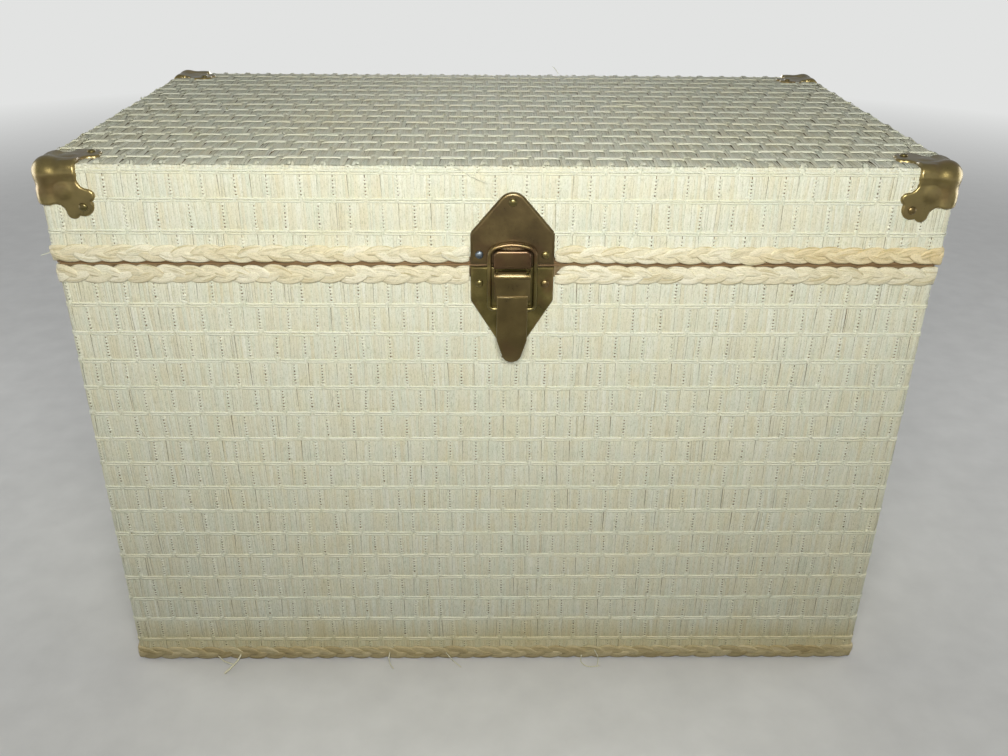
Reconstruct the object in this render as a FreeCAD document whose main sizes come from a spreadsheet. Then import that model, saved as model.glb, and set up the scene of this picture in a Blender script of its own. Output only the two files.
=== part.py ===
import FreeCAD, Part
import math
import os
import re

import Sketcher
from FreeCAD import Placement, Rotation, Vector

# Woven chest: a box of thin boards covered with straw matting, with a hinged lid, brass corner
# caps, a draw latch at the front and a drop handle on each end.
# Millimetres. Origin: centre of the underside. +Z is up, +X along the width, the front faces -Y.

SIZES = [
    # the whole chest
    ("chest_width", 610, "lid over its matting, end to end"),
    ("chest_depth", 346, "front to back over the matting"),
    ("chest_height", 424, "floor to the lid's top"),
    ("lid_height", 68.2, "lid's wood edge to its top"),
    ("seam_gap", 0.4, "between the wood edges of box and lid"),
    ("lid_overhang", 1.6, "the lid is wider than the box by this at each end"),
    ("cut_over", 4, "overrun of the cuts"),
    # boards and matting
    ("wall", 8, "front, back and end boards"),
    ("bottom_thick", 9, "bottom board"),
    ("lid_top_thick", 6, "lid's top board"),
    ("post_side", 18, "square corner post in the box"),
    ("post_drop", 20, "the posts end this far below the box's edge"),
    ("block_height", 36, "corner block in the lid"),
    ("mat_thick", 2, "straw matting"),
    # braids
    ("braid_rise", 2.6, "a braid stands this proud of the matting"),
    ("rim_braid_width", 12.7, "braid along the box's upper edge"),
    ("rim_braid_drop", 1, "its top below the box's edge"),
    ("lid_braid_width", 10.4, "braid along the lid's lower edge"),
    ("lid_braid_lift", 2.4, "its underside above the lid's edge"),
    ("base_braid_width", 12, "braid round the base"),
    ("floor_clear", 0.5, "the base braid and matting clear the floor by this"),
    ("trim_gap", 0.4, "between a braid's cut end and a metal plate"),
    # nails
    ("nail_head", 5.8, "head diameter"),
    ("nail_dome", 1.5, "head height"),
    ("nail_shank", 2.2, "shank diameter"),
    ("nail_length", 9, "shank below the head"),
    ("nail_hole_gap", 0.1, "plate hole over the shank, on the radius"),
    # latch plates
    ("latch_x", 8.4, "the latch sits this far right of the middle"),
    ("latch_width", 57.4, "both plates"),
    ("plate_rise", 2.4, "the plates stand this proud of the matting"),
    ("plate_seam", 0.9, "from the seam's middle to each plate"),
    ("upper_shoulder", 22.3, "upper plate's straight sides"),
    ("upper_point", 56.4, "upper plate to its unrounded point"),
    ("lower_shoulder", 25, "lower plate's straight sides"),
    ("lower_point", 71.9, "lower plate to its unrounded point"),
    ("point_radius", 11, "rounding of the points"),
    ("shoulder_radius", 6, "rounding of the shoulders"),
    ("plate_edge", 1.1, "rolled-over edge of the plates"),
    ("plate_corner", 1.2, "corners at the seam"),
    ("plate_nail_x", 22.6, "side nails from the latch's middle"),
    ("upper_nail_lift", 7.1, "side nails above the upper plate's lower edge"),
    ("upper_nail_top", 43.8, "top nail above the upper plate's lower edge"),
    ("lower_nail_drop", 11.9, "side nails below the lower plate's upper edge"),
    # strike
    ("strike_width", 25.9, "raised hook that the bail pulls on"),
    ("strike_height", 11.6, "from the upper plate's lower edge"),
    ("strike_rise", 5.5, "above the plate"),
    ("strike_wall", 1.2, "strike sheet"),
    ("strike_corner", 4, "rounded top corners"),
    ("strike_edge", 1.5, "rounded front edge"),
    # bail
    ("bail_wire", 3.2, "wire diameter"),
    ("bail_width", 34.6, "over the legs"),
    ("bail_rest_gap", 1.8, "between the crown of the bail and the strike's top"),
    ("bail_stand", 2.6, "wire's middle above the plates"),
    ("bail_crown", 34, "radius of the bail's top"),
    ("bail_corner", 6.5, "radius of its upper corners"),
    ("bail_bend", 3, "radius of the turned-in ends"),
    ("bail_end_in", 2, "the ends reach this far inside the lever's cheeks"),
    # lever
    ("lever_width", 24.7, "upper part over its cheeks"),
    ("tongue_width", 21.2, "lower part over its cheeks"),
    ("lever_sheet", 1, "sheet thickness"),
    ("lever_stand", 4.4, "pivot above the lower plate"),
    ("lever_round", 3.9, "outer radius round the pivot"),
    ("lever_drop", 5.7, "pivot below the box's edge"),
    ("lever_lip", 1.95, "the front wall ends this far above the pivot"),
    ("bail_drop", 24.9, "bail's ends below the lever's pivot"),
    ("tongue_drop", 13.2, "tongue's upper edge below the pivot"),
    ("head_overlap", 3, "the upper part runs on below that edge by this"),
    ("tongue_rise", 1.4, "the tongue stands this proud of the upper part"),
    ("lever_length", 63.1, "pivot to the tongue's tip"),
    ("tongue_taper", 17, "the taper starts this far above the tip"),
    ("nose_lift", 4.2, "the round nose starts this far above the tip"),
    ("nose_width", 13, "tongue's width there"),
    ("lever_edge", 0.8, "rounded front edges of the tongue"),
    ("pin_thick", 2.4, "lever pin diameter"),
    ("pin_gap", 0.05, "running gap on the radius"),
    ("ear_thick", 1.2, "ears that carry the lever pin"),
    ("ear_gap", 0.25, "between an ear and the lever's cheek"),
    ("ear_round", 2.6, "ear radius round the pin"),
    ("ear_top", 1, "ear's root above the pivot"),
    ("ear_bottom", 4, "ear's root below the pivot"),
    # corner caps
    ("cap_sheet", 1.4, "sheet thickness"),
    ("cap_reach", 38.2, "furthest point of an ear from the corner"),
    ("cap_band", 27.3, "length of the bands along the edges"),
    ("cap_band_width", 8.6, "width of the bands"),
    ("cap_round", 3.5, "rounding along the edges"),
    ("ball_inset", 6.5, "ball's centre from each face"),
    ("ball_radius", 9.3, "bulge at the corner"),
    ("ball_gap", 0.2, "between the bulge and the rounded board"),
    ("cap_nail", 28.4, "nail from each edge"),
    # hinges
    ("hinge_x", 190, "hinges from the middle"),
    ("hinge_width", 38, "along the pin"),
    ("leaf_height", 24, "each leaf beyond the knuckles"),
    ("leaf_thick", 1.6, "leaf sheet"),
    ("knuckle_radius", 3.2, "outside of the knuckles"),
    ("knuckle_stand", 3.4, "pin's middle above the matting"),
    ("knuckle_gap", 0.3, "between knuckles, end to end"),
    ("leaf_clear", 0.5, "between a leaf and the other leaf's knuckles"),
    ("hinge_pin", 2.8, "pin diameter"),
    ("hinge_nail_x", 12.5, "outer nails from the hinge's middle"),
    ("hinge_nail_out", 8, "outer nails beyond the knuckles"),
    ("hinge_nail_mid", 17, "middle nail beyond the knuckles"),
    # end handles
    ("handle_drop", 87.4, "handle's pivots below the box's edge"),
    ("handle_span", 84, "between the middles of the two eyes"),
    ("handle_plate_length", 128, "back plate"),
    ("handle_plate_height", 30, "back plate"),
    ("handle_plate_thick", 1.6, "back plate"),
    ("handle_plate_edge", 0.7, "its rounded front edge"),
    ("eye_width", 9, "eye along the pivot"),
    ("eye_radius", 5.4, "eye round the pivot"),
    ("eye_stand", 8.4, "pivot above the matting"),
    ("grip_wire", 6, "handle bar diameter"),
    ("grip_drop", 42, "pivot to the grip's middle"),
    ("grip_bend", 13, "radius of the lower corners"),
    ("grip_turn", 6, "radius of the turned-out ends"),
    ("eye_gap", 0.4, "between an eye and the start of the bar's bend"),
    ("handle_nail_x", 57, "nails from the plate's middle"),
    ("handle_nail_mid", 14, "inner nails from the plate's middle"),
]

DERIVED = [
    ("box_width", "chest_width - 2 * lid_overhang"),
    ("box_height", "chest_height - lid_height - seam_gap"),
    ("lid_x", "chest_width / 2"),
    ("box_x", "box_width / 2"),
    ("face_y", "chest_depth / 2"),
    ("wood_lid_x", "lid_x - mat_thick"),
    ("wood_box_x", "box_x - mat_thick"),
    ("wood_y", "face_y - mat_thick"),
    ("lid_bottom", "box_height + seam_gap"),
    ("seam_z", "box_height + seam_gap / 2"),
    ("lid_top_under", "chest_height - mat_thick - lid_top_thick"),
    ("rim_braid_top", "box_height - rim_braid_drop"),
    ("rim_braid_bottom", "rim_braid_top - rim_braid_width"),
    ("lid_braid_bottom", "lid_bottom + lid_braid_lift"),
    ("lid_braid_top", "lid_braid_bottom + lid_braid_width"),
    ("upper_plate_z", "seam_z + plate_seam"),
    ("lower_plate_z", "seam_z - plate_seam"),
    ("strike_top", "upper_plate_z + strike_height"),
    ("lever_z", "box_height - lever_drop"),
    ("lever_y", "-face_y - plate_rise - lever_stand"),
    ("bail_z", "lever_z - bail_drop"),
    ("bail_y", "-face_y - plate_rise - bail_stand"),
    ("bail_x", "(bail_width - bail_wire) / 2"),
    ("bail_top", "strike_top + bail_rest_gap + bail_wire / 2"),
    ("lever_back_y", "lever_y + lever_round"),
    ("lever_front_y", "lever_y - lever_round"),
    ("tongue_front_y", "lever_front_y - tongue_rise"),
    ("tongue_top", "lever_z - tongue_drop"),
    ("tongue_tip", "lever_z - lever_length"),
    ("head_x", "lever_width / 2"),
    ("tongue_x", "tongue_width / 2"),
    ("ear_x", "head_x - lever_sheet - ear_gap"),
    ("hinge_y", "face_y + knuckle_stand"),
    ("leaf_start", "knuckle_radius + leaf_clear"),
    ("knuckle_length", "hinge_width / 3"),
    ("handle_x", "box_x + eye_stand"),
    ("handle_z", "box_height - handle_drop"),
]

# ear of a corner cap, as shares of cap_reach along and across the edge, up to its diagonal
EAR_TURN_SHARES = (0.749, 0.346)
EAR_NECK_SHARES = (0.877, 0.408)
EAR_LOBE_SHARES = (1.0, 0.513)
EAR_NOTCH_SHARES = (0.927, 0.644)
EAR_TIP_SHARE = 0.874

# a nail's dome: shares of the head's radius and of the dome's height, from the rim up
NAIL_DOME_SHARES = ((1.0, 0), (0.93, 0.45), (0.66, 0.86), (0.25, 1.0))
NAIL_SIDES = 12
SHANK_SIDES = 4

doc = FreeCAD.newDocument("woven_chest")
sheet = doc.addObject("Spreadsheet::Sheet", "Sizes")
NODES = {}


def fill_sheet():
    """Driving sizes as plain numbers, then the sizes worked out from them as formulas."""
    for row, (alias, value, note) in enumerate(SIZES, start=1):
        sheet.set(f"A{row}", alias)
        sheet.set(f"B{row}", str(value))
        sheet.set(f"C{row}", note)
        sheet.setAlias(f"B{row}", alias)
    for row, (alias, formula) in enumerate(DERIVED, start=len(SIZES) + 1):
        sheet.set(f"A{row}", alias)
        sheet.set(f"B{row}", "=" + formula)
        sheet.setAlias(f"B{row}", alias)
    doc.recompute()


ALIASES = {entry[0] for entry in SIZES} | {entry[0] for entry in DERIVED}


def bound(text):
    """An expression with each of the sheet's names pointing at the sheet."""
    return re.sub(r"[a-z_]+", lambda m: "Sizes." + m[0] if m[0] in ALIASES else m[0], text)


def size(alias):
    return float(sheet.get(alias))


def node(name, piece):
    """Registers a finished piece under the name of its file."""
    piece.Label = name
    NODES[name] = piece
    return piece


def place(piece, x, y, z):
    for axis, text in (("x", x), ("y", y), ("z", z)):
        piece.setExpression("Placement.Base." + axis, bound(text))


def block(name, x, y, z):
    """A board between two expressions on each axis."""
    piece = doc.addObject("Part::Box", name)
    for side, (low, high) in zip(("Length", "Width", "Height"), (x, y, z)):
        piece.setExpression(side, bound(f"({high}) - ({low})"))
    place(piece, x[0], y[0], z[0])
    return piece


def centred(name, half_x, half_y, z):
    """A board centred on the chest's middle."""
    return block(name, (f"-({half_x})", half_x), (f"-({half_y})", half_y), z)


TURNS = {
    "x": Rotation(Vector(0, 1, 0), 90),
    "y": Rotation(Vector(1, 0, 0), -90),
    "z": Rotation(),
}


def rod(name, along, radius, length, x, y, z):
    """A cylinder that starts at a point and runs along an axis."""
    piece = doc.addObject("Part::Cylinder", name)
    piece.Placement = Placement(Vector(), TURNS[along])
    piece.setExpression("Radius", bound(radius))
    piece.setExpression("Height", bound(length))
    place(piece, x, y, z)
    return piece


def fuse(name, *parts):
    piece = doc.addObject("Part::MultiFuse", name)
    piece.Shapes = list(parts)
    return piece


def cut(name, base, *tools):
    piece = doc.addObject("Part::Cut", name)
    piece.Base = base
    piece.Tool = tools[0] if len(tools) == 1 else fuse(name + "_tools", *tools)
    return piece


def solid(name, shape):
    piece = doc.addObject("Part::Feature", name)
    piece.Shape = shape
    return piece


def ring(name, half_x, half_y, thick, z):
    """A band round the chest: its outer half sizes and its thickness inwards."""
    outer = centred(name + "_outer", half_x, half_y, z)
    low, high = z
    inner = centred(name + "_inner", f"{half_x} - {thick}", f"{half_y} - {thick}",
                    (f"{low} - cut_over", f"{high} + cut_over"))
    return cut(name, outer, inner)


def pick_edges(shape, test):
    return ["Edge%d" % number for number, edge in enumerate(shape.Edges, start=1) if test(edge)]


def runs_along(edge, direction):
    """Whether a straight edge is parallel to a direction."""
    if not isinstance(edge.Curve, Part.Line):
        return False
    return abs(edge.tangentAt(edge.FirstParameter).dot(direction)) > math.cos(math.radians(1))


def round_edges(body, name, test, radius):
    """A fillet on the edges of the body's tip that pass a test, bound to a size."""
    doc.recompute()
    tip = body.Tip
    fillet = body.newObject("PartDesign::Fillet", name)
    fillet.Base = (tip, pick_edges(tip.Shape, test))
    fillet.setExpression("Radius", bound(radius))
    doc.recompute()
    return fillet


def sketch_on(body, role, name):
    plane = [datum for datum in body.Origin.OriginFeatures if datum.Role == role][0]
    sketch = body.newObject("Sketcher::SketchObject", name)
    sketch.AttachmentSupport = [(plane, "")]
    sketch.MapMode = "FlatFace"
    return sketch


def value(text):
    """An expression's value in millimetres."""
    result = sheet.evalExpression(text)
    return float(getattr(result, "Value", result))


def bind_point(sketch, curve, end, x, y):
    """Ties a point of a sketch to the sheet by its distances from the origin."""
    for kind, text in (("DistanceX", x), ("DistanceY", y)):
        number = sketch.addConstraint(Sketcher.Constraint(kind, -1, 1, curve, end, value(text)))
        sketch.setExpression(f"Constraints[{number}]", bound(text))


def polygon(body, role, name, corners):
    """A closed sketch of straight lines whose corners follow expressions."""
    sketch = sketch_on(body, role, name)
    points = [Vector(value(x), value(y), 0) for x, y in corners]
    count = len(points)
    for number in range(count):
        sketch.addGeometry(Part.LineSegment(points[number], points[(number + 1) % count]), False)
    for number in range(count):
        sketch.addConstraint(Sketcher.Constraint("Coincident", number, 2, (number + 1) % count, 1))
    for number, (x, y) in enumerate(corners):
        bind_point(sketch, number, 1, x, y)
    return sketch


def circles(body, role, name, centres, radius):
    sketch = sketch_on(body, role, name)
    for number, (x, y) in enumerate(centres):
        centre = Vector(value(x), value(y), 0)
        sketch.addGeometry(Part.Circle(centre, Vector(0, 0, 1), value(radius)), False)
        bind_point(sketch, number, 3, x, y)
        bore = sketch.addConstraint(Sketcher.Constraint("Radius", number, value(radius)))
        sketch.setExpression(f"Constraints[{bore}]", bound(radius))
    return sketch


def pad(body, name, sketch, length):
    feature = body.newObject("PartDesign::Pad", name)
    feature.Profile = sketch
    feature.setExpression("Length", bound(length))
    return feature


def drill(body, name, sketch):
    """Through holes, cut both ways from the sketch."""
    doc.recompute()
    feature = body.newObject("PartDesign::Pocket", name)
    feature.Profile = sketch
    feature.Type = "ThroughAll"
    feature.Midplane = True
    doc.recompute()
    return feature


def nail_shape(at, outward):
    """A nail with a faceted dome and a square shank; its head sits on a surface at a point."""
    head = size("nail_head") / 2
    dome = size("nail_dome")
    shank = size("nail_shank") / 2
    depth = size("nail_length")

    def rim(radius, height, sides):
        angles = [math.tau * number / sides for number in range(sides)]
        corners = [Vector(radius * math.cos(angle), radius * math.sin(angle), height) for angle in angles]
        return Part.makePolygon(corners + corners[:1])

    levels = [rim(head * across, dome * up, NAIL_SIDES) for across, up in NAIL_DOME_SHARES]
    dome_shape = Part.makeLoft(levels, True, True)
    shank_shape = Part.makeLoft([rim(shank, -depth, SHANK_SIDES), rim(shank, 0, SHANK_SIDES)], True, True)
    shape = dome_shape.fuse(shank_shape).removeSplitter()
    shape.Placement = Placement(at, Rotation(Vector(0, 0, 1), outward))
    return shape


def nails(name, places):
    """A group of separate nails: (point, outward direction) for each."""
    return node(name, solid(name, Part.Compound([nail_shape(*spot) for spot in places])))


def arc(a, b, c):
    return Part.Arc(a, b, c).toShape()


def line(a, b):
    return Part.LineSegment(a, b).toShape()


def bend(at, across, up, radius, start, end):
    """An arc round a centre in the plane of at(), between two angles in degrees."""
    angles = [math.radians(angle) for angle in (start, (start + end) / 2, end)]
    return arc(*(at(across + radius * math.cos(angle), up + radius * math.sin(angle)) for angle in angles))


def corner_group(name, inside_x, inside_y, height):
    """A square post in each inside corner of a frame of boards."""
    ends_x = ((f"-({inside_x})", f"-({inside_x}) + post_side"), (f"{inside_x} - post_side", inside_x))
    ends_y = ((f"-({inside_y})", f"-({inside_y}) + post_side"), (f"{inside_y} - post_side", inside_y))
    posts = [block(f"{name}_{i}{j}", ends_x[i], ends_y[j], height) for i in (0, 1) for j in (0, 1)]
    group = doc.addObject("Part::Compound", name)
    group.Links = posts
    node(name, group)


def box_boards():
    """Bottom, four walls butted front to back, and a post in each corner."""
    node("bottom_board", centred("bottom_board", "wood_box_x", "wood_y", ("0", "bottom_thick")))
    rise = ("bottom_thick", "box_height")
    across = ("-wood_box_x", "wood_box_x")
    node("front_board", block("front_board", across, ("-wood_y", "-wood_y + wall"), rise))
    node("back_board", block("back_board", across, ("wood_y - wall", "wood_y"), rise))
    between = ("-wood_y + wall", "wood_y - wall")
    node("left_end_board", block("left_end_board", ("-wood_box_x", "-wood_box_x + wall"), between, rise))
    node("right_end_board", block("right_end_board", ("wood_box_x - wall", "wood_box_x"), between, rise))
    corner_group("corner_posts", "wood_box_x - wall", "wood_y - wall",
                 ("bottom_thick", "box_height - post_drop"))


def relief():
    """What is taken off the lid's four top corners so that the caps' bulges can close over them."""
    inset = size("ball_inset")
    radius = size("ball_radius") - size("cap_sheet") - size("ball_gap")
    shapes = []
    for sign_x in (-1, 1):
        for sign_y in (-1, 1):
            corner = Vector(sign_x * size("lid_x"), sign_y * size("face_y"), size("chest_height"))
            centre = corner - Vector(sign_x * inset, sign_y * inset, inset)
            low = Vector(min(corner.x, centre.x), min(corner.y, centre.y), centre.z)
            cube = Part.makeBox(inset, inset, inset, low)
            shapes.append(cube.cut(Part.makeSphere(radius, centre)))
    return solid("corner_relief", Part.Compound(shapes))


def lid_boards(corners):
    """Top board on four rails, and a block in each corner."""
    top = centred("lid_top_whole", "wood_lid_x", "wood_y", ("lid_top_under", "chest_height - mat_thick"))
    node("lid_top_board", cut("lid_top_board", top, corners))
    rise = ("lid_bottom", "lid_top_under")
    across = ("-wood_lid_x", "wood_lid_x")
    node("lid_front_rail", block("lid_front_rail", across, ("-wood_y", "-wood_y + wall"), rise))
    node("lid_back_rail", block("lid_back_rail", across, ("wood_y - wall", "wood_y"), rise))
    between = ("-wood_y + wall", "wood_y - wall")
    node("lid_left_rail", block("lid_left_rail", ("-wood_lid_x", "-wood_lid_x + wall"), between, rise))
    node("lid_right_rail", block("lid_right_rail", ("wood_lid_x - wall", "wood_lid_x"), between, rise))
    corner_group("lid_corner_blocks", "wood_lid_x - wall", "wood_y - wall",
                 ("lid_top_under - block_height", "lid_top_under"))


def matting(corners):
    """One strip of straw matting round the box, one round the lid, and a sheet on the lid."""
    box_rise = ("floor_clear", "rim_braid_top")
    node("box_matting", ring("box_matting", "box_x", "face_y", "mat_thick", box_rise))
    side = ring("lid_side_whole", "lid_x", "face_y", "mat_thick",
                ("lid_braid_bottom", "chest_height - mat_thick"))
    node("lid_side_matting", cut("lid_side_matting", side, corners))
    top = centred("lid_top_sheet", "lid_x", "face_y", ("chest_height - mat_thick", "chest_height"))
    node("lid_top_matting", cut("lid_top_matting", top, corners))


def braid(name, half_x, low, high, broken):
    """A flat braid round the chest, cut where the latch and hinge plates sit."""
    outer = centred(name + "_outer", f"{half_x} + braid_rise", "face_y + braid_rise", (low, high))
    tall = (f"{low} - cut_over", f"{high} + cut_over")
    gaps = [centred(name + "_inner", half_x, "face_y", tall)]
    if broken:
        front = ("-face_y - braid_rise - cut_over", "-face_y + cut_over")
        back = ("face_y - cut_over", "face_y + braid_rise + cut_over")
        reach = "latch_width / 2 + trim_gap"
        gaps.append(block(name + "_latch_gap", (f"latch_x - ({reach})", f"latch_x + {reach}"), front, tall))
        reach = "hinge_width / 2 + trim_gap"
        for side, sign in (("left", "-"), ("right", "")):
            middle = f"{sign}hinge_x"
            gaps.append(block(f"{name}_{side}_hinge_gap", (f"{middle} - ({reach})", f"{middle} + {reach}"),
                              back, tall))
    node(name, cut(name, outer, *gaps))


def braids():
    braid("box_rim_braid", "box_x", "rim_braid_bottom", "rim_braid_top", True)
    braid("lid_braid", "lid_x", "lid_braid_bottom", "lid_braid_top", True)
    braid("base_braid", "box_x", "floor_clear", "floor_clear + base_braid_width", False)


def corner_cap():
    """One cap with its corner at the origin and the lid in the positive octant."""
    sheet_t = size("cap_sheet")
    reach = size("cap_reach")
    band = size("cap_band")
    width = size("cap_band_width")
    inset = size("ball_inset")
    whole = reach + size("cut_over")

    def point(shares):
        return Vector(shares[0] * reach, shares[1] * reach, 0)

    def mirrored(p):
        return Vector(p.y, p.x, 0)

    corner = Vector(-sheet_t, -sheet_t, 0)
    band_end = Vector(band, -sheet_t, 0)
    band_foot = Vector(band, width, 0)
    turn = point(EAR_TURN_SHARES)
    neck = point(EAR_NECK_SHARES)
    lobe = point(EAR_LOBE_SHARES)
    notch = point(EAR_NOTCH_SHARES)
    tip = Vector(EAR_TIP_SHARE * reach, EAR_TIP_SHARE * reach, 0)
    half = [line(corner, band_end), line(band_end, band_foot),
            arc(band_foot, turn, neck), arc(neck, lobe, notch)]
    other = [line(corner, mirrored(band_end)), line(mirrored(band_end), mirrored(band_foot)),
             arc(mirrored(band_foot), mirrored(turn), mirrored(neck)),
             arc(mirrored(neck), mirrored(lobe), mirrored(notch))]
    outline = Part.Wire(Part.__sortEdges__(half + [arc(notch, tip, mirrored(notch))] + other))
    ear = Part.Face(outline).extrude(Vector(0, 0, sheet_t))
    ear.translate(Vector(0, 0, -sheet_t))
    nail_at = size("cap_nail")
    bore = size("nail_shank") / 2 + size("nail_hole_gap")
    hole = Part.makeCylinder(bore, 2 * size("cut_over"), Vector(nail_at, nail_at, -size("cut_over")))
    ear = ear.cut(hole)
    ears = [ear]
    for turns in (1, 2):
        copy = ear.copy()
        copy.rotate(Vector(), Vector(1, 1, 1), 120 * turns)
        ears.append(copy)
    shell = ears[0].multiFuse(ears[1:])

    rounded = Part.makeBox(whole, whole, whole, Vector(-sheet_t, -sheet_t, -sheet_t))
    near = [edge for edge in rounded.Edges
            if min((v.Point - rounded.BoundBox.getPoint(0)).Length for v in edge.Vertexes) < sheet_t]
    rounded = rounded.makeFillet(size("cap_round"), near)
    shell = shell.common(rounded)

    centre = Vector(inset, inset, inset)
    room_side = inset + sheet_t
    room = Part.makeBox(room_side, room_side, room_side, Vector(-sheet_t, -sheet_t, -sheet_t))
    ball = Part.makeSphere(size("ball_radius"), centre)
    hollow = Part.makeSphere(size("ball_radius") - sheet_t, centre)
    lid_corner = Part.makeBox(whole, whole, whole)
    clipped = lid_corner.cut(Part.makeBox(inset, inset, inset).cut(hollow))
    return shell.cut(room).fuse(ball).cut(clipped).removeSplitter()


def corner_caps():
    """Four caps, each the mirror image of its neighbours, and three nails in each."""
    pattern = corner_cap()
    sides = {"front_left": (-1, -1), "front_right": (1, -1), "back_left": (-1, 1), "back_right": (1, 1)}
    inset = size("cap_nail")
    proud = size("cap_sheet")
    top = size("chest_height")
    spots = []
    for side, (sign_x, sign_y) in sides.items():
        shape = pattern.mirror(Vector(), Vector(0, 0, 1))
        if sign_x > 0:
            shape = shape.mirror(Vector(), Vector(1, 0, 0))
        if sign_y > 0:
            shape = shape.mirror(Vector(), Vector(0, 1, 0))
        corner = Vector(sign_x * size("lid_x"), sign_y * size("face_y"), top)
        shape.translate(corner)
        node(f"corner_cap_{side}", solid(f"corner_cap_{side}", shape))
        inner = corner - Vector(sign_x * inset, sign_y * inset, inset)
        spots.append((Vector(inner.x, inner.y, top + proud), Vector(0, 0, 1)))
        spots.append((Vector(inner.x, corner.y + sign_y * proud, inner.z), Vector(0, sign_y, 0)))
        spots.append((Vector(corner.x + sign_x * proud, inner.y, inner.z), Vector(sign_x, 0, 0)))
    nails("corner_cap_nails", spots)


def latch_plate(name, edge_z, direction, shoulder, point, nail_spots):
    """A pressed plate with one rounded point, padded outwards from the matting and rolled at its rim."""
    body = doc.addObject("PartDesign::Body", name)
    doc.recompute()
    place(body, "latch_x", "-face_y", edge_z)
    half = "latch_width / 2"
    outline = polygon(body, "XZ_Plane", name + "_outline", [
        (f"-{half}", "0 mm"), (half, "0 mm"), (half, f"{direction}{shoulder}"),
        ("0 mm", f"{direction}{point}"), (f"-{half}", f"{direction}{shoulder}")])
    pad(body, name + "_sheet", outline, "plate_rise")
    outward = Vector(0, 1, 0)
    near = size("shoulder_radius")

    def at(edge, x, z):
        middle = edge.CenterOfMass
        return abs(abs(middle.x) - abs(x)) < near and abs(middle.z - z) < near

    sign = -1 if direction else 1
    tip = sign * size(point)
    side_z = sign * size(shoulder)
    half_width = size("latch_width") / 2
    round_edges(body, name + "_tip", lambda e: runs_along(e, outward) and at(e, 0, tip), "point_radius")
    round_edges(body, name + "_shoulders",
                lambda e: runs_along(e, outward) and at(e, half_width, side_z), "shoulder_radius")
    round_edges(body, name + "_corners",
                lambda e: runs_along(e, outward) and at(e, half_width, 0), "plate_corner")
    front = -size("plate_rise")
    flat = size("plate_rise") / 4
    round_edges(body, name + "_rim",
                lambda e: all(abs(v.Point.y - front) < flat for v in e.Vertexes), "plate_edge")
    holes = circles(body, "XZ_Plane", name + "_holes", nail_spots, "nail_shank / 2 + nail_hole_gap")
    drill(body, name + "_nail_holes", holes)
    return body


def upper_plate():
    spots = [("0 mm", "upper_nail_top"), ("-plate_nail_x", "upper_nail_lift"),
             ("plate_nail_x", "upper_nail_lift")]
    node("latch_upper_plate",
         latch_plate("latch_upper_plate", "upper_plate_z", "", "upper_shoulder", "upper_point", spots))
    proud = -size("face_y") - size("plate_rise")
    low = size("upper_plate_z")
    forward = Vector(0, -1, 0)
    middle = size("latch_x")
    side = size("plate_nail_x")
    level = low + size("upper_nail_lift")
    nails("latch_upper_nails", [(Vector(middle, proud, low + size("upper_nail_top")), forward),
                                (Vector(middle + side, proud, level), forward)])
    nails("latch_steel_nail", [(Vector(middle - side, proud, level), forward)])


def strike():
    """The raised hook: a pressed cup, open at its back and below."""
    body = doc.addObject("PartDesign::Body", "latch_strike")
    doc.recompute()
    place(body, "latch_x", "-face_y - plate_rise", "upper_plate_z")
    half = "strike_width / 2"
    outline = polygon(body, "XZ_Plane", "strike_outline", [
        (f"-{half}", "0 mm"), (half, "0 mm"), (half, "strike_height"), (f"-{half}", "strike_height")])
    pad(body, "strike_block", outline, "strike_rise")
    top = size("strike_height")
    small = size("strike_edge")
    outward = Vector(0, 1, 0)
    round_edges(body, "strike_shoulders",
                lambda e: runs_along(e, outward) and abs(e.CenterOfMass.z - top) < small, "strike_corner")
    front = -size("strike_rise")
    round_edges(body, "strike_rim",
                lambda e: all(abs(v.Point.y - front) < small / 2 for v in e.Vertexes), "strike_edge")
    inner = f"({half} - strike_wall)"
    hollow = polygon(body, "XZ_Plane", "strike_hollow", [
        (f"-{inner}", "-cut_over"), (inner, "-cut_over"),
        (inner, "strike_height - strike_corner"), (f"-{inner}", "strike_height - strike_corner")])
    doc.recompute()
    pocket = body.newObject("PartDesign::Pocket", "strike_inside")
    pocket.Profile = hollow
    pocket.Reversed = True
    pocket.setExpression("Length", bound("strike_rise - strike_wall"))
    doc.recompute()
    node("latch_strike", body)


def lower_plate():
    """The lower plate carries two ears, and the lever's pin runs through them."""
    spots = [("-plate_nail_x", "-lower_nail_drop"), ("plate_nail_x", "-lower_nail_drop")]
    body = latch_plate("lower_plate_sheet", "lower_plate_z", "-", "lower_shoulder", "lower_point", spots)
    ears = []
    depth = ("lever_y", "-face_y - plate_rise / 2")
    height = ("lever_z - ear_bottom", "lever_z + ear_top")
    for side, inner in (("left", "latch_x - ear_x"), ("right", "latch_x + ear_x - ear_thick")):
        ears.append(block(f"ear_root_{side}", (inner, f"{inner} + ear_thick"), depth, height))
        ears.append(rod(f"ear_end_{side}", "x", "ear_round", "ear_thick", inner, "lever_y", "lever_z"))
    whole = fuse("lower_plate_whole", body, *ears)
    bore = rod("ear_bore", "x", "pin_thick / 2 + pin_gap", "lever_width",
               "latch_x - head_x", "lever_y", "lever_z")
    node("latch_lower_plate", cut("latch_lower_plate", whole, bore))
    node("latch_lever_pin", rod("latch_lever_pin", "x", "pin_thick / 2", "lever_width",
                                "latch_x - head_x", "lever_y", "lever_z"))
    proud = -size("face_y") - size("plate_rise")
    level = size("lower_plate_z") - size("lower_nail_drop")
    side = size("plate_nail_x")
    nails("latch_lower_nails", [(Vector(size("latch_x") + sign * side, proud, level), Vector(0, -1, 0))
                                for sign in (-1, 1)])


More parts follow.
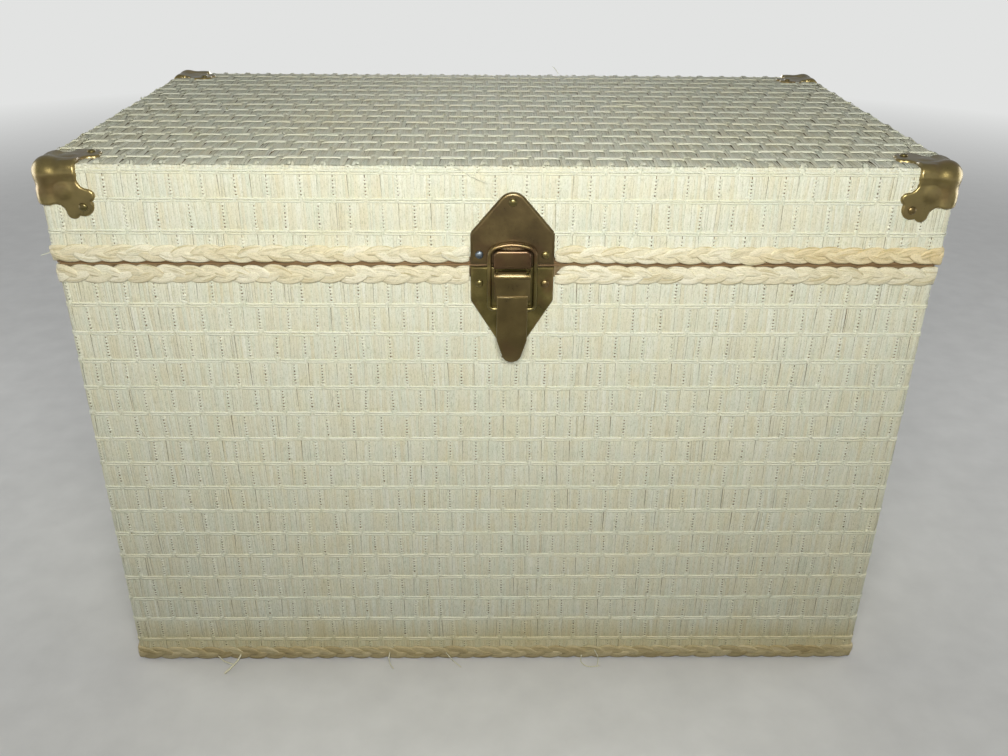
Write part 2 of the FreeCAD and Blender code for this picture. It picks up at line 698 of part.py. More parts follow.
def tongue(inset, front, back, upper):
    """The lever's tongue or its inside: straight cheeks, a taper and a round nose."""
    half = size("tongue_x") - inset
    nose = size("nose_width") / 2 - inset
    tip = size("tongue_tip") + inset
    taper = size("tongue_tip") + size("tongue_taper")
    nose_z = size("tongue_tip") + size("nose_lift") + inset
    middle = size("latch_x")

    def at(x, z):
        return Vector(middle + x, front, z)

    corners = [at(-nose, nose_z), at(-half, taper), at(-half, upper),
               at(half, upper), at(half, taper), at(nose, nose_z)]
    edges = [line(a, b) for a, b in zip(corners, corners[1:])]
    edges.append(arc(corners[-1], at(0, tip), corners[0]))
    return Part.Face(Part.Wire(edges)).extrude(Vector(0, back - front, 0))


def lever():
    """A bent-up channel: two cheeks round the pin, a front wall and a longer, prouder tongue."""
    left = "latch_x - head_x"
    knee = rod("lever_knee", "x", "lever_round", "lever_width", left, "lever_y", "lever_z")
    head = block("lever_head", (left, f"{left} + lever_width"), ("lever_front_y", "lever_back_y"),
                 ("tongue_top - head_overlap", "lever_z"))
    sheet_t = size("lever_sheet")
    front = size("tongue_front_y")
    back = size("lever_back_y")
    bar = tongue(0, front, back, size("tongue_top"))
    slim = size("lever_edge") / 2
    rim = [edge for edge in bar.Edges if all(abs(v.Point.y - front) < slim for v in edge.Vertexes)]
    outer = solid("lever_tongue", bar.makeFillet(size("lever_edge"), rim))
    over = size("cut_over")
    hollow = tongue(sheet_t, front + sheet_t, back + over, size("tongue_top") - sheet_t)
    inner = solid("lever_tongue_inside", hollow)
    inside = block("lever_head_inside", (f"{left} + lever_sheet", f"{left} + lever_width - lever_sheet"),
                   ("lever_front_y + lever_sheet", "lever_back_y + cut_over"),
                   ("tongue_top - head_overlap + lever_sheet", "lever_z + lever_round + cut_over"))
    mouth = block("lever_mouth", ("latch_x - tongue_x + lever_sheet", "latch_x + tongue_x - lever_sheet"),
                  ("lever_front_y + lever_sheet", "lever_back_y + cut_over"),
                  ("tongue_top - head_overlap - cut_over", "tongue_top"))
    top = block("lever_top_cut", (f"{left} + lever_sheet", f"{left} + lever_width - lever_sheet"),
                ("lever_front_y - cut_over", "lever_back_y + cut_over"),
                ("lever_z + lever_lip", "lever_z + lever_round + cut_over"))
    bore = rod("lever_bore", "x", "pin_thick / 2 + pin_gap", "lever_width", left, "lever_y", "lever_z")
    seat = rod("bail_bore", "x", "bail_wire / 2 + pin_gap", "lever_width", left, "bail_y", "bail_z")
    whole = cut("lever_whole", fuse("lever_outer", knee, head, outer), inner, inside, mouth, top, bore, seat)
    node("latch_lever", whole)


def pipe(name, edges, radius, start, direction):
    """A round bar along a path of lines and arcs."""
    profile = Part.Wire(Part.Circle(start, direction, radius).toShape())
    path = Part.Wire(edges)
    bar = path.makePipeShell([profile], True, False)
    return node(name, solid(name, bar))


def latch_bail():
    """A wire loop: turned-in ends, straight legs and a crowned top, all arcs tangent."""
    half = size("bail_x")
    y = size("bail_y")
    low = size("bail_z")
    top = size("bail_top")
    curl = size("bail_bend")
    corner = size("bail_corner")
    crown = size("bail_crown")
    end = size("tongue_x") - size("bail_end_in")
    middle = size("latch_x")
    across = half - corner
    lean = math.sqrt((crown - corner) ** 2 - across ** 2)
    corner_z = top - crown + lean
    turn = math.degrees(math.atan2(lean, across))

    def side(sign):
        def at(x, z):
            return Vector(middle + sign * x, y, z)

        return [
            line(at(end, low), at(half - curl, low)),
            bend(at, half - curl, low + curl, curl, -90, 0),
            line(at(half, low + curl), at(half, corner_z)),
            bend(at, across, corner_z, corner, 0, turn),
        ]

    def front(x, z):
        return Vector(middle + x, y, z)

    crown_edge = bend(front, 0, top - crown, crown, turn, 180 - turn)
    edges = Part.__sortEdges__(side(-1) + [crown_edge] + side(1)[::-1])
    pipe("latch_bail", edges, size("bail_wire") / 2, front(-end, low), Vector(1, 0, 0))


def hinge(side, sign):
    """A butt hinge on the back: two leaves, three knuckles and a pin."""
    left = f"{sign}hinge_x - hinge_width / 2"
    right = f"{sign}hinge_x + hinge_width / 2"
    outer = "face_y + leaf_thick"
    bore = "hinge_pin / 2 + pin_gap"
    name = f"{side}_hinge_lower"
    spans = ((left, "knuckle_length - knuckle_gap"),
             (f"{left} + 2 * knuckle_length + knuckle_gap", "knuckle_length - knuckle_gap"))
    plate = block(name + "_plate", (left, right), ("face_y", outer),
                  ("seam_z - leaf_start - leaf_height", "seam_z - leaf_start"))
    parts = [plate]
    neck = ("seam_z - leaf_start", "seam_z - seam_gap")
    for number, (start, length) in enumerate(spans):
        knuckle = f"{name}_knuckle_{number}"
        parts.append(rod(knuckle, "x", "knuckle_radius", length, start, "hinge_y", "seam_z"))
        parts.append(block(knuckle + "_neck", (start, f"{start} + {length}"), ("face_y", outer), neck))
    holes = [rod(name + "_bore", "x", bore, "hinge_width", left, "hinge_y", "seam_z")]
    upper = f"{side}_hinge_upper"
    start = f"{left} + knuckle_length"
    upper_parts = [
        block(upper + "_plate", (left, right), ("face_y", outer),
              ("seam_z + leaf_start", "seam_z + leaf_start + leaf_height")),
        rod(upper + "_knuckle", "x", "knuckle_radius", "knuckle_length", start, "hinge_y", "seam_z"),
        block(upper + "_neck", (start, f"{start} + knuckle_length"), ("face_y", outer),
              ("seam_z + seam_gap", "seam_z + leaf_start"))]
    upper_holes = [rod(upper + "_bore", "x", bore, "hinge_width", left, "hinge_y", "seam_z")]
    spots = (("-hinge_nail_x", "hinge_nail_out"), ("0", "hinge_nail_mid"),
             ("hinge_nail_x", "hinge_nail_out"))
    radius = "nail_shank / 2 + nail_hole_gap"
    places = {"upper": [], "lower": []}
    for number, (along, beyond) in enumerate(spots):
        x = f"{sign}hinge_x + ({along})"
        for leaf, way, tools in (("upper", "+", upper_holes), ("lower", "-", holes)):
            z = f"seam_z {way} (leaf_start + {beyond})"
            tools.append(rod(f"{side}_hinge_{leaf}_hole_{number}", "y", radius, "leaf_thick + 2 * cut_over",
                             x, "face_y - cut_over", z))
            places[leaf].append((Vector(value(x), value(outer), value(z)), Vector(0, 1, 0)))
    node(name, cut(name, fuse(name + "_whole", *parts), *holes))
    node(upper, cut(upper, fuse(upper + "_whole", *upper_parts), *upper_holes))
    pin = f"{side}_hinge_pin"
    node(pin, rod(pin, "x", "hinge_pin / 2", "hinge_width", left, "hinge_y", "seam_z"))
    return places


def hinges():
    places = [hinge("left", "-"), hinge("right", "")]
    for leaf in ("upper", "lower"):
        nails(f"hinge_{leaf}_nails", [spot for both in places for spot in both[leaf]])


def handle(side, sign):
    """A plate with two eyes on an end, and a bar whose turned-out ends swing in them."""
    face = sign * size("box_x")
    out = sign * size("handle_plate_thick")
    length = size("handle_plate_length")
    height = size("handle_plate_height")
    level = size("handle_z")
    x = sign * size("handle_x")
    half = size("handle_span") / 2
    eye = size("eye_radius")
    wide = size("eye_width")
    bar = size("grip_wire") / 2
    radius = height / 2
    reach = length / 2 - radius

    def on_face(y, z):
        return Vector(face, y, level + z)

    rim = [line(on_face(-reach, radius), on_face(reach, radius)),
           arc(on_face(reach, radius), on_face(reach + radius, 0), on_face(reach, -radius)),
           line(on_face(reach, -radius), on_face(-reach, -radius)),
           arc(on_face(-reach, -radius), on_face(-reach - radius, 0), on_face(-reach, radius))]
    plate = Part.Face(Part.Wire(rim)).extrude(Vector(out, 0, 0))
    slim = size("handle_plate_edge") / 2
    front = [edge for edge in plate.Edges
             if all(abs(v.Point.x - face - out) < slim for v in edge.Vertexes)]
    plate = plate.makeFillet(size("handle_plate_edge"), front)
    along = Vector(0, 1, 0)
    for y in (-half, half):
        start = y - wide / 2
        barrel = Part.makeCylinder(eye, wide, Vector(x, start, level), along)
        low = min(x, face + out / 2)
        stem = Part.makeBox(abs(x - face - out / 2), wide, 2 * eye, Vector(low, start, level - eye))
        bore = Part.makeCylinder(bar + size("pin_gap"), wide, Vector(x, start, level), along)
        plate = plate.fuse(stem).fuse(barrel).cut(bore)
    shank = size("nail_shank") / 2 + size("nail_hole_gap")
    over = size("cut_over")
    spots = []
    for away in (size("handle_nail_x"), size("handle_nail_mid")):
        for y in (-away, away):
            hole = Part.makeCylinder(shank, 2 * over, Vector(face - over, y, level), Vector(1, 0, 0))
            plate = plate.cut(hole)
            spots.append((Vector(face + out, y, level), Vector(sign, 0, 0)))
    node(f"{side}_handle_plate", solid(f"{side}_handle_plate", plate.removeSplitter()))

    turn = size("grip_turn")
    leg = half - wide / 2 - size("eye_gap") - turn
    end = half + wide / 2
    drop = level - size("grip_drop")
    curl = size("grip_bend")

    def half_path(way):
        def at(y, z):
            return Vector(x, way * y, z)

        return [
            line(at(end, level), at(leg + turn, level)),
            bend(at, leg + turn, level - turn, turn, 90, 180),
            line(at(leg, level - turn), at(leg, drop + curl)),
            bend(at, leg - curl, drop + curl, curl, 0, -90),
        ]

    grip = line(Vector(x, curl - leg, drop), Vector(x, leg - curl, drop))
    edges = Part.__sortEdges__(half_path(-1) + [grip] + half_path(1)[::-1])
    pipe(f"{side}_handle_bar", edges, bar, Vector(x, -end, level), along)
    return spots


def handles():
    nails("handle_nails", handle("left", -1) + handle("right", 1))


def check_and_export():
    """Every object is sound and every piece is a valid shape before anything is written."""
    doc.recompute()
    for item in doc.Objects:
        if "Invalid" in item.State or "Error" in item.State:
            raise RuntimeError(f"{item.Name} failed: {item.State}")
    for name, piece in NODES.items():
        if piece.Shape.isNull() or not piece.Shape.isValid() or not piece.Shape.Solids:
            raise RuntimeError(f"{name} has no valid solid")
    os.makedirs("parts", exist_ok=True)
    for name, piece in NODES.items():
        piece.Shape.exportStep(f"parts/{name}.step")
    print(len(NODES), "pieces,", sum(len(piece.Shape.Solids) for piece in NODES.values()), "solids")


fill_sheet()
box_boards()
corners = relief()
lid_boards(corners)
matting(corners)
braids()
corner_caps()
upper_plate()
strike()
lower_plate()
lever()
latch_bail()
hinges()
handles()
check_and_export()
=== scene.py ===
import math

import bmesh
import bpy
import numpy as np
from mathutils import Matrix, Vector
from mathutils.geometry import delaunay_2d_cdt


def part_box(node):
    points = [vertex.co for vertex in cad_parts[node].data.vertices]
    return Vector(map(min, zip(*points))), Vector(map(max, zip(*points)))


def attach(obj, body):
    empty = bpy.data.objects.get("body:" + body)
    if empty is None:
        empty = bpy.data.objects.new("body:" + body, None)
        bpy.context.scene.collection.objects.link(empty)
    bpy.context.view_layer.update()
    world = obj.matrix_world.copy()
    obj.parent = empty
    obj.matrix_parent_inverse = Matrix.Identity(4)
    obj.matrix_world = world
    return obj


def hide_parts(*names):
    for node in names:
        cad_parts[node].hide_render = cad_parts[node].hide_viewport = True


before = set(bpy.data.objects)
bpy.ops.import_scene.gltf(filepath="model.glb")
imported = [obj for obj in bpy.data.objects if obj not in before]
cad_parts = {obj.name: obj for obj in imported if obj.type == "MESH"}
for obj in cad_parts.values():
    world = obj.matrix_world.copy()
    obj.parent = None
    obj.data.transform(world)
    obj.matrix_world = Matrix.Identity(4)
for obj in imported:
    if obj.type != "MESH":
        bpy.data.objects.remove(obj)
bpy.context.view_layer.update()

# The looks of the woven chest: straw matting and braids, aged brass and bare boards.
# Millimetres in this file; meshes are scaled to metres when they are made.

MM = 0.001
rng = np.random.default_rng(7)


def box_mm(name):
    """Lowest and highest corner of a piece of the frame, in millimetres."""
    return [np.array(corner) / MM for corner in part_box(name)]


def linked(name, data):
    """A new object in the scene."""
    made = bpy.data.objects.new(name, data)
    bpy.context.scene.collection.objects.link(made)
    return made


def hand_over(piece, body, node=None):
    """Puts a piece on its body, and in place of a node of the frame if one is named."""
    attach(piece, body)
    if node:
        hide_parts(node)


def between(a, b, share):
    return a * (1 - share) + b * share


def bulge(away, reach):
    """One in the middle, nothing well beyond the reach."""
    return np.exp(-(away / reach) ** 4)


# Camera, as found from the corners of the chest in the photograph
CAMERA_AT = (-7.6, -796.0, 585.9)
CAMERA_TURNS = (("Z", -1.02), ("X", 90 - 27.02), ("Z", 0.55))
FOCAL_PIXELS = 959.2
FRAME_WIDTH_PIXELS = 1008
SENSOR_MM = 36
CLIP_METRES = (0.05, 60)


def camera():
    data = bpy.data.cameras.new("camera")
    data.sensor_width = SENSOR_MM
    data.lens = FOCAL_PIXELS * SENSOR_MM / FRAME_WIDTH_PIXELS
    data.clip_start, data.clip_end = CLIP_METRES
    made = linked("camera", data)
    place = Matrix.Translation(Vector(CAMERA_AT) * MM)
    for axis, degrees in CAMERA_TURNS:
        place = place @ Matrix.Rotation(math.radians(degrees), 4, axis)
    made.matrix_world = place
    bpy.context.scene.camera = made


# Materials. A colour is three levels of 0 to 255, one grey share, or four linear values.


def linear(colour):
    """The linear values that shaders take."""
    if not isinstance(colour, tuple):
        return (colour, colour, colour, 1)
    if len(colour) == 4:
        return colour
    shares = [level / 255 for level in colour]
    return (*(s / 12.92 if s <= 0.04045 else ((s + 0.055) / 1.055) ** 2.4 for s in shares), 1)


class Shader:
    """A node tree made by short calls. Each adds a node and returns one of its outputs."""

    def __init__(self, name, group="materials", **surface):
        self.owner = getattr(bpy.data, group).new(name)
        self.owner.use_nodes = True
        self.tree = self.owner.node_tree
        self.last = [node for node in self.tree.nodes if "Output" in node.name][0].inputs["Surface"]
        self.surface = self.last.links[0].from_node
        self.set(self.surface, {key.replace("_", " "): value for key, value in surface.items()})

    def set(self, node, values):
        for key, value in values.items():
            socket = node.inputs[key]
            if isinstance(value, bpy.types.NodeSocket):
                self.tree.links.new(value, socket)
            else:
                socket.default_value = linear(value) if socket.type == "RGBA" else value

    def finished(self, values):
        """Gives the surface its values and returns the material."""
        self.set(self.surface, values)
        return self.owner

    def add(self, kind, values, output=0, **settings):
        node = self.tree.nodes.new("ShaderNode" + kind)
        for key, value in settings.items():
            setattr(node, key, value)
        self.set(node, values)
        return node.outputs[output]

    def place(self):
        return self.add("TexCoord", {}, "Object")

    def noise(self, vector, scale, detail=2, roughness=0.5):
        values = {"Vector": vector, "Scale": scale, "Detail": detail, "Roughness": roughness}
        return self.add("TexNoise", values)

    def stretched_noise(self, scale, detail, roughness=0.5):
        """Noise with a scale of its own on each axis."""
        return self.noise(self.add("Mapping", {0: self.place(), "Scale": scale}), 1.0, detail, roughness)

    def ramp(self, fac, stops):
        """A ramp of (position, colour) pairs."""
        made = self.add("ValToRGB", {"Fac": fac})
        elements = made.node.color_ramp.elements
        while len(elements) < len(stops):
            elements.new(1)
        for element, (position, colour) in zip(elements, stops):
            element.position = position
            element.color = linear(colour)
        return made

    def spread(self, value, low, high, to_low=0.0, to_high=1.0):
        """A value taken from one range to another and held inside it."""
        return self.add("MapRange", {0: value, 1: low, 2: high, 3: to_low, 4: to_high})

    def maths(self, operation, a, b):
        return self.add("Math", {0: a, 1: b}, operation=operation)

    def mix(self, share, a, b, blend="MIX"):
        """Two colours mixed; the node keeps its colours in inputs 6 and 7 and output 2."""
        return self.add("Mix", {"Factor": share, 6: a, 7: b}, 2, data_type="RGBA", blend_type=blend)

    def tinted(self, share, colour, tint):
        return self.mix(share, colour, tint, "MULTIPLY")

    def bump(self, height, distance, strength, under=None):
        values = {"Height": height, "Distance": distance * MM, "Strength": strength}
        if under is not None:
            values["Normal"] = under
        return self.add("Bump", values)


def straw(name, tones, stain_top=None, yellow=0.0, strands=None, aged_from=None):
    """Bleached straw. The mesh says how far a point lies across and along its own straw, and gives
    each straw a number of its own. Strands are the fibres seen in a leaf of a braid; with strands,
    each leaf is also painted darker towards its root, as painted shade where it tucks under."""
    shader = Shader(name, Roughness=0.6, IOR=1.45)
    own = shader.add("Attribute", {}, "Vector", attribute_name="straw")
    across, along, number = shader.add("SeparateXYZ", {0: own}).node.outputs
    apart = shader.maths("MULTIPLY", number, 977.0)

    def drawn_out(squeeze, scale, detail, roughness):
        """Noise drawn out along each straw, and different in each."""
        at = shader.add("CombineXYZ", {0: across, 1: shader.maths("MULTIPLY", along, squeeze), 2: apart})
        return shader.noise(at, scale, detail, roughness)

    fibres = drawn_out(0.05, 2.3, 3, 0.6)
    colour = shader.tinted(1.0, shader.ramp(number, tones),
                           shader.ramp(fibres, [(0.3, 0.86), (0.46, 0.98), (0.7, 1.02)]))
    streaks = shader.ramp(drawn_out(0.2, 1.5, 3, 0.65), [(0.32, (214, 216, 200)), (0.46, 1.0)])
    colour = shader.tinted(0.75, colour, streaks)
    bumps = shader.bump(fibres, 0.25, 0.7)
    if strands is not None:
        grooves = drawn_out(0.045, strands, 2, 0.6)
        colour = shader.tinted(0.6, colour, shader.ramp(grooves, [(0.34, (206, 194, 158)), (0.47, 1.0)]))
        # painted shade: each leaf darker towards its root, where it tucks under the leaf beside it
        colour = shader.tinted(1.0, colour, shader.spread(along, -4.5, 0.5, 0.76, 1.0))
        bumps = shader.bump(grooves, 0.6, 0.8, bumps)
    place = shader.place()
    speckle = shader.ramp(shader.noise(place, 1300.0), [(0.34, (232, 232, 222)), (0.5, 1.0)])
    colour = shader.tinted(0.6, colour, speckle)
    tint = shader.ramp(shader.noise(place, 46.0), [(0.3, (244, 252, 250)), (0.48, (255, 255, 255)),
                                                   (0.62, (255, 251, 236)), (0.75, (252, 248, 230))])
    colour = shader.tinted(0.3, colour, tint)
    aged = shader.spread(shader.noise(place, 5.0, 4, 0.6), 0.5, 0.72, yellow * 0.5, 0.12 + yellow)
    colour = shader.tinted(aged, colour, (250, 230, 180))

    def ragged(axis, scale, amount):
        """A place on one axis, made uneven."""
        wander = shader.maths("MULTIPLY", shader.noise(place, scale, 3), amount)
        return shader.maths("ADD", shader.add("SeparateXYZ", {0: place}, axis), wander)

    if aged_from is not None:
        share = shader.spread(ragged("X", 16.0, 0.09), aged_from * MM, (aged_from + 130) * MM, 0, 0.5)
        colour = shader.tinted(share, colour, (252, 228, 178))
    if stain_top is not None:
        share = shader.spread(ragged("Z", 22.0, -0.03), stain_top * MM - 0.024, stain_top * MM, 0.6, 0.0)
        colour = shader.tinted(share, colour, (232, 218, 176))
    return shader.finished({"Base Color": colour, "Normal": bumps})


CREAM_TONES = [(0.0, (229, 224, 195)), (0.05, (230, 227, 201)), (0.3, (232, 230, 205)),
               (0.6, (236, 236, 214)), (0.85, (228, 230, 208)), (1.0, (240, 240, 221))]
# The lid's top is painted a little darker than the walls, as painted shade.
TOP_SHADED_TONES = [(0.0, (220, 216, 188)), (0.05, (221, 218, 193)), (0.3, (223, 221, 197)),
             (0.6, (227, 227, 206)), (0.85, (219, 221, 200)), (1.0, (231, 231, 213))]
BRAID_TONES = [(0.0, (234, 225, 192)), (0.5, (240, 233, 203)), (1.0, (246, 241, 216))]
# The base braid is darker than the rim braids: partly its own greyish brown, partly painted shade at the
# chest's foot.
BASE_TONES_WITH_SHADE = [(0.0, (196, 184, 150)), (0.5, (212, 203, 172)), (1.0, (222, 214, 186))]


def dark_ground():
    """What shows in the open columns: old glue and dust on the wood."""
    shader = Shader("dusty_ground", Roughness=0.9, Specular_IOR_Level=0.2)
    spots = shader.noise(shader.place(), 260.0, 3)
    return shader.finished({"Base Color": shader.ramp(spots, [(0.3, (104, 86, 60)), (0.7, (150, 132, 98))])})


def aged_brass(name, over=None, share=0.65):
    """Lacquered brass gone brown: olive ground, reddish patches, dark specks and fine scratches. The
    colour named over is laid on by its share."""
    shader = Shader(name, Metallic=0.9, Coat_Weight=0.5, Coat_Roughness=0.16)
    place = shader.place()
    clouds = shader.noise(place, 52.0, 4, 0.6)
    scratches = shader.stretched_noise((900, 160, 420), 3, 0.7)
    colour = shader.ramp(clouds, [(0.28, (94, 86, 46)), (0.5, (120, 108, 60)), (0.72, (148, 133, 80))])
    red = shader.noise(place, 40.0, 3, 0.55)
    colour = shader.mix(shader.spread(red, 0.52, 0.66, 0, 0.6), colour, (112, 78, 52))
    specks = shader.noise(place, 900.0)
    colour = shader.mix(shader.spread(specks, 0.66, 0.74, 0, 0.6), colour, (70, 58, 34))
    if over is not None:
        colour = shader.mix(share, colour, over)
    rough = shader.spread(shader.mix(0.5, clouds, scratches), 0.3, 0.7, 0.24, 0.46)
    dents = shader.bump(shader.noise(place, 120.0), 0.25, 0.35)
    return shader.finished({"Base Color": colour, "Roughness": rough,
                            "Normal": shader.bump(scratches, 0.05, 0.4, dents)})


def steel():
    shader = Shader("blued_steel", Metallic=1.0)
    grain = shader.noise(shader.place(), 800.0, 3)
    colour = shader.ramp(grain, [(0.3, (92, 100, 106)), (0.7, (126, 136, 142))])
    return shader.finished({"Base Color": colour, "Roughness": shader.spread(grain, 0.3, 0.7, 0.38, 0.55)})


def bare_wood(name, stretch):
    """Sawn softwood: long grain along the board and broader patches, with all its tones darkened as painted
    shade of the narrow seam between lid and box.
    """
    shader = Shader(name, Roughness=0.7)
    grain = shader.stretched_noise(stretch, 4, 0.6)
    rings = shader.stretched_noise(tuple(axis * 0.22 for axis in stretch), 2)
    # painted shade: these tones are darker than bare softwood, standing in for the shade inside the seam
    colour = shader.ramp(grain, [(0.3, (114, 88, 54)), (0.5, (153, 124, 84)), (0.7, (180, 152, 108))])
    colour = shader.mix(shader.spread(rings, 0.4, 0.65, 0, 0.45), colour, (128, 100, 64))
    return shader.finished({"Base Color": colour, "Normal": shader.bump(grain, 0.2, 0.5)})


# Meshes


def poly_mesh(name, points, faces, material, smooth=False, marks=None):
    """A piece of the given points in millimetres and faces, with the marks that straw reads."""
    mesh = bpy.data.meshes.new(name)
    mesh.from_pydata(points * MM, [], faces, shade_flat=not smooth)
    if marks is not None:
        own = mesh.attributes.new("straw", "FLOAT_VECTOR", "POINT")
        own.data.foreach_set("vector", marks.astype(np.float32).ravel())
    mesh.materials.append(material)
    return linked(name, mesh)


def grid_mesh(name, points, material, marks=None, wrap_rows=False, wrap_columns=False, smooth=True):
    """One mesh of many equal grids: points is (grids, rows, columns, 3) in millimetres."""
    index = np.arange(points.size // 3).reshape(points.shape[:3])
    if wrap_rows:
        index = np.concatenate([index, index[:, :1]], axis=1)
    if wrap_columns:
        index = np.concatenate([index, index[:, :, :1]], axis=2)
    quads = np.stack([index[:, :-1, :-1], index[:, :-1, 1:], index[:, 1:, 1:], index[:, 1:, :-1]], axis=-1)
    return poly_mesh(name, points.reshape(-1, 3), quads.reshape(-1, 4), material, smooth, marks)


def pile(store):
    """Grids of one shape, put together."""
    return [np.concatenate(parts) for parts in zip(*store)]


def join(name, made):
    """Joins pieces into one."""
    bpy.ops.object.select_all(action="DESELECT")
    for piece in made:
        piece.select_set(True)
    bpy.context.view_layer.objects.active = made[0]
    if len(made) > 1:
        bpy.ops.object.join()
    made[0].name = name
    return made[0]


class Wall:
    """The upright faces of the box or the lid as one strip. A place on it is how far along it lies
    from the front left corner, its height, and how far out it stands from the face. Where a top is
    given, the strip bends over it with the radius of the edge."""

    def __init__(self, half_x, half_y, corner, top=None, edge=0.0):
        self.half = (half_x, half_y)
        self.corner, self.top, self.edge = corner, top, edge
        self.straight = np.array([2 * (half_x - corner), 2 * (half_y - corner)] * 2)
        self.bend = math.pi / 2 * corner
        self.length = self.straight.sum() + 4 * self.bend
        self.starts = np.concatenate([[0], np.cumsum(self.straight + self.bend)[:3]])
        centre = half_x - corner + 1j * (half_y - corner)
        self.centres = np.array([-centre, centre.conjugate(), centre, -centre.conjugate()])

    def at(self, along, height, out):
        along, height, out = np.broadcast_arrays(np.mod(along, self.length), height, out)
        side = np.clip(np.searchsorted(self.starts, along, side="right") - 1, 0, 3)
        run = along - self.starts[side]
        past = np.clip(run - self.straight[side], 0, None)
        facing = (side - 1) * (math.pi / 2)
        pivot = self.centres[side] + 1j * np.exp(1j * facing) * (run - past)
        if self.top is not None:
            bent = np.clip((height - self.top + self.edge) / self.edge, 0, math.pi / 2)
            over = bent > 0
            lift = out + self.edge
            height = np.where(over, self.top - self.edge + lift * np.sin(bent), height)
            out = np.where(over, lift * np.cos(bent) - self.edge, out)
        flat = pivot + np.exp(1j * (facing + past / self.corner)) * (self.corner + out)
        return np.stack([flat.real, flat.imag, height], axis=-1)


class Table:
    """The top of the lid, whose matting follows a share of the rounded edge. Along runs from left to
    right, height from front to back."""

    edge_share = 0.8

    def __init__(self, half_x, half_y, top, edge):
        self.half = (half_x, half_y)
        self.top, self.edge = top, edge
        self.length = 2 * half_x

    def at(self, along, height, out):
        x, y, up = np.broadcast_arrays(along - self.half[0], height, out)
        for value, half in zip((x, y), self.half):
            near = np.clip(1 - (half - np.abs(value)) / self.edge, 0, 1)
            up = up - self.edge * (1 - np.sqrt(1 - near ** 2)) * self.edge_share
        return np.stack([x, y, self.top + up], axis=-1)


def waves(count, scale, amount):
    """A closed row of smooth random values."""
    steps = np.arange(count) / count * math.tau
    total = np.zeros(count)
    for turns in scale:
        total += np.cos(turns * steps + rng.uniform(0, math.tau)) * rng.uniform(0.6, 1.0)
    return total * amount / math.sqrt(len(scale))


# The matting: bricks of fine upright straws between pairs of level cords, with an open column
# between neighbouring bricks, which alternate from row to row. Rises are along each straw.
STRAWS = 10
MIDDLE = STRAWS // 2
STRAW_STEPS = np.array([0.0, 0.1, 0.3, 0.55, 0.8, 0.93, 1.0])
STRAW_RISE = np.array([-0.8, -0.3, 0.0, 0.12, 0.05, -0.22, -0.6]) * 0.75
STRAW_THICK, STRAW_SUNK = 0.3, 0.1
# how the middle straws of a brick bulge over the cords at its far end, on the lid's top
DOME_RISE_SHARES = np.array([0.0, 0.0, 0.1, 0.35, 0.8, 1.0, 0.45])
DOME_REACH = np.array([0.0, 0.0, 0.0, 0.1, 0.4, 0.7, 1.0])
# a column's half width at its top and foot, how much of it is open, how it wanders and leans
COLUMN_TOP, COLUMN_BOTTOM, OPEN_WIDE, OPEN_SHARE = 0.2, 0.46, 1.5, (0.45, 1.0)
COLUMN_WANDER, COLUMN_LEAN = 0.35, 0.45
# how straws vary in width, run astray, gape and stand up, and how many lie loose or split the middle
STRAW_WEIGHT, STRAW_STRAY, STRAW_SLACK, STRAW_UNEVEN = (0.6, 1.4), 0.017, (-0.1, 0.06), 0.06
LOOSE_SHARE, LOOSE_SLACK = 0.05, 0.2
SPLIT_SHARE, SPLIT_WIDTHS, SPLIT_FOOT = 0.7, (0.2, 1.0), 0.15
CORD_APART, CORD_RADIUS, CORD_STEP, CORD_DIP, CORD_TWIST = 1.75, 0.8, 2.4, 1.15, 0.45
# turns round the chest and size of the waves in a cord's height and in how it stands out
CORD_WANDER, CORD_LIFT = ((3, 7, 19, 43), 0.2), ((11, 29, 71), 0.1)
CORD_ANGLES = np.radians([-112, -40, 40, 112])
# the places across a straw, and for rungs and tufts the places along them and their bow there
SIDE = np.array([-1.0, 0.0, 1.0])
RUNGS_APART, RUNGS_ABOVE_CORD, RUNGS_BELOW_CORD = 2.45, 1.1, 0.1
RUNG_HALF, RUNG_THICK, RUNG_FALL = 1.9, 0.82, 0.38
RUNG_STRAY, RUNG_LENGTHS, RUNG_SLOPE, RUNG_UNEVEN = 0.18, (0.8, 1.15), 0.2, 0.06
RUNG_RUN = np.array([-1.0, -0.45, 0.45, 1.0])[:, None]
RUNG_BOW = np.array([-0.45, 0.46, 0.46, -0.45])[:, None]
TUFT_LEANS, TUFT_SHARE, TUFT_LONG, TUFT_FALL = (-1.9, -0.7, 0.9), 0.88, 3.6, 0.25
TUFT_STRAY, TUFT_SPREAD, TUFT_UNEVEN, TUFT_ABOVE_CLIP = 0.2, (0.7, 1.3), 0.08, 2.2
TUFT_FOOTS, TUFT_TIPS = (0.5, 1.1), (0.75, 1.1)
TUFT_RUN = np.array([0.0, 0.35, 0.7, 1.0])[:, None]
TUFT_ARCH = np.array([0.3, 0.85, 0.5, -0.3])[:, None]
BRICKS_IN_A_PIECE = 900


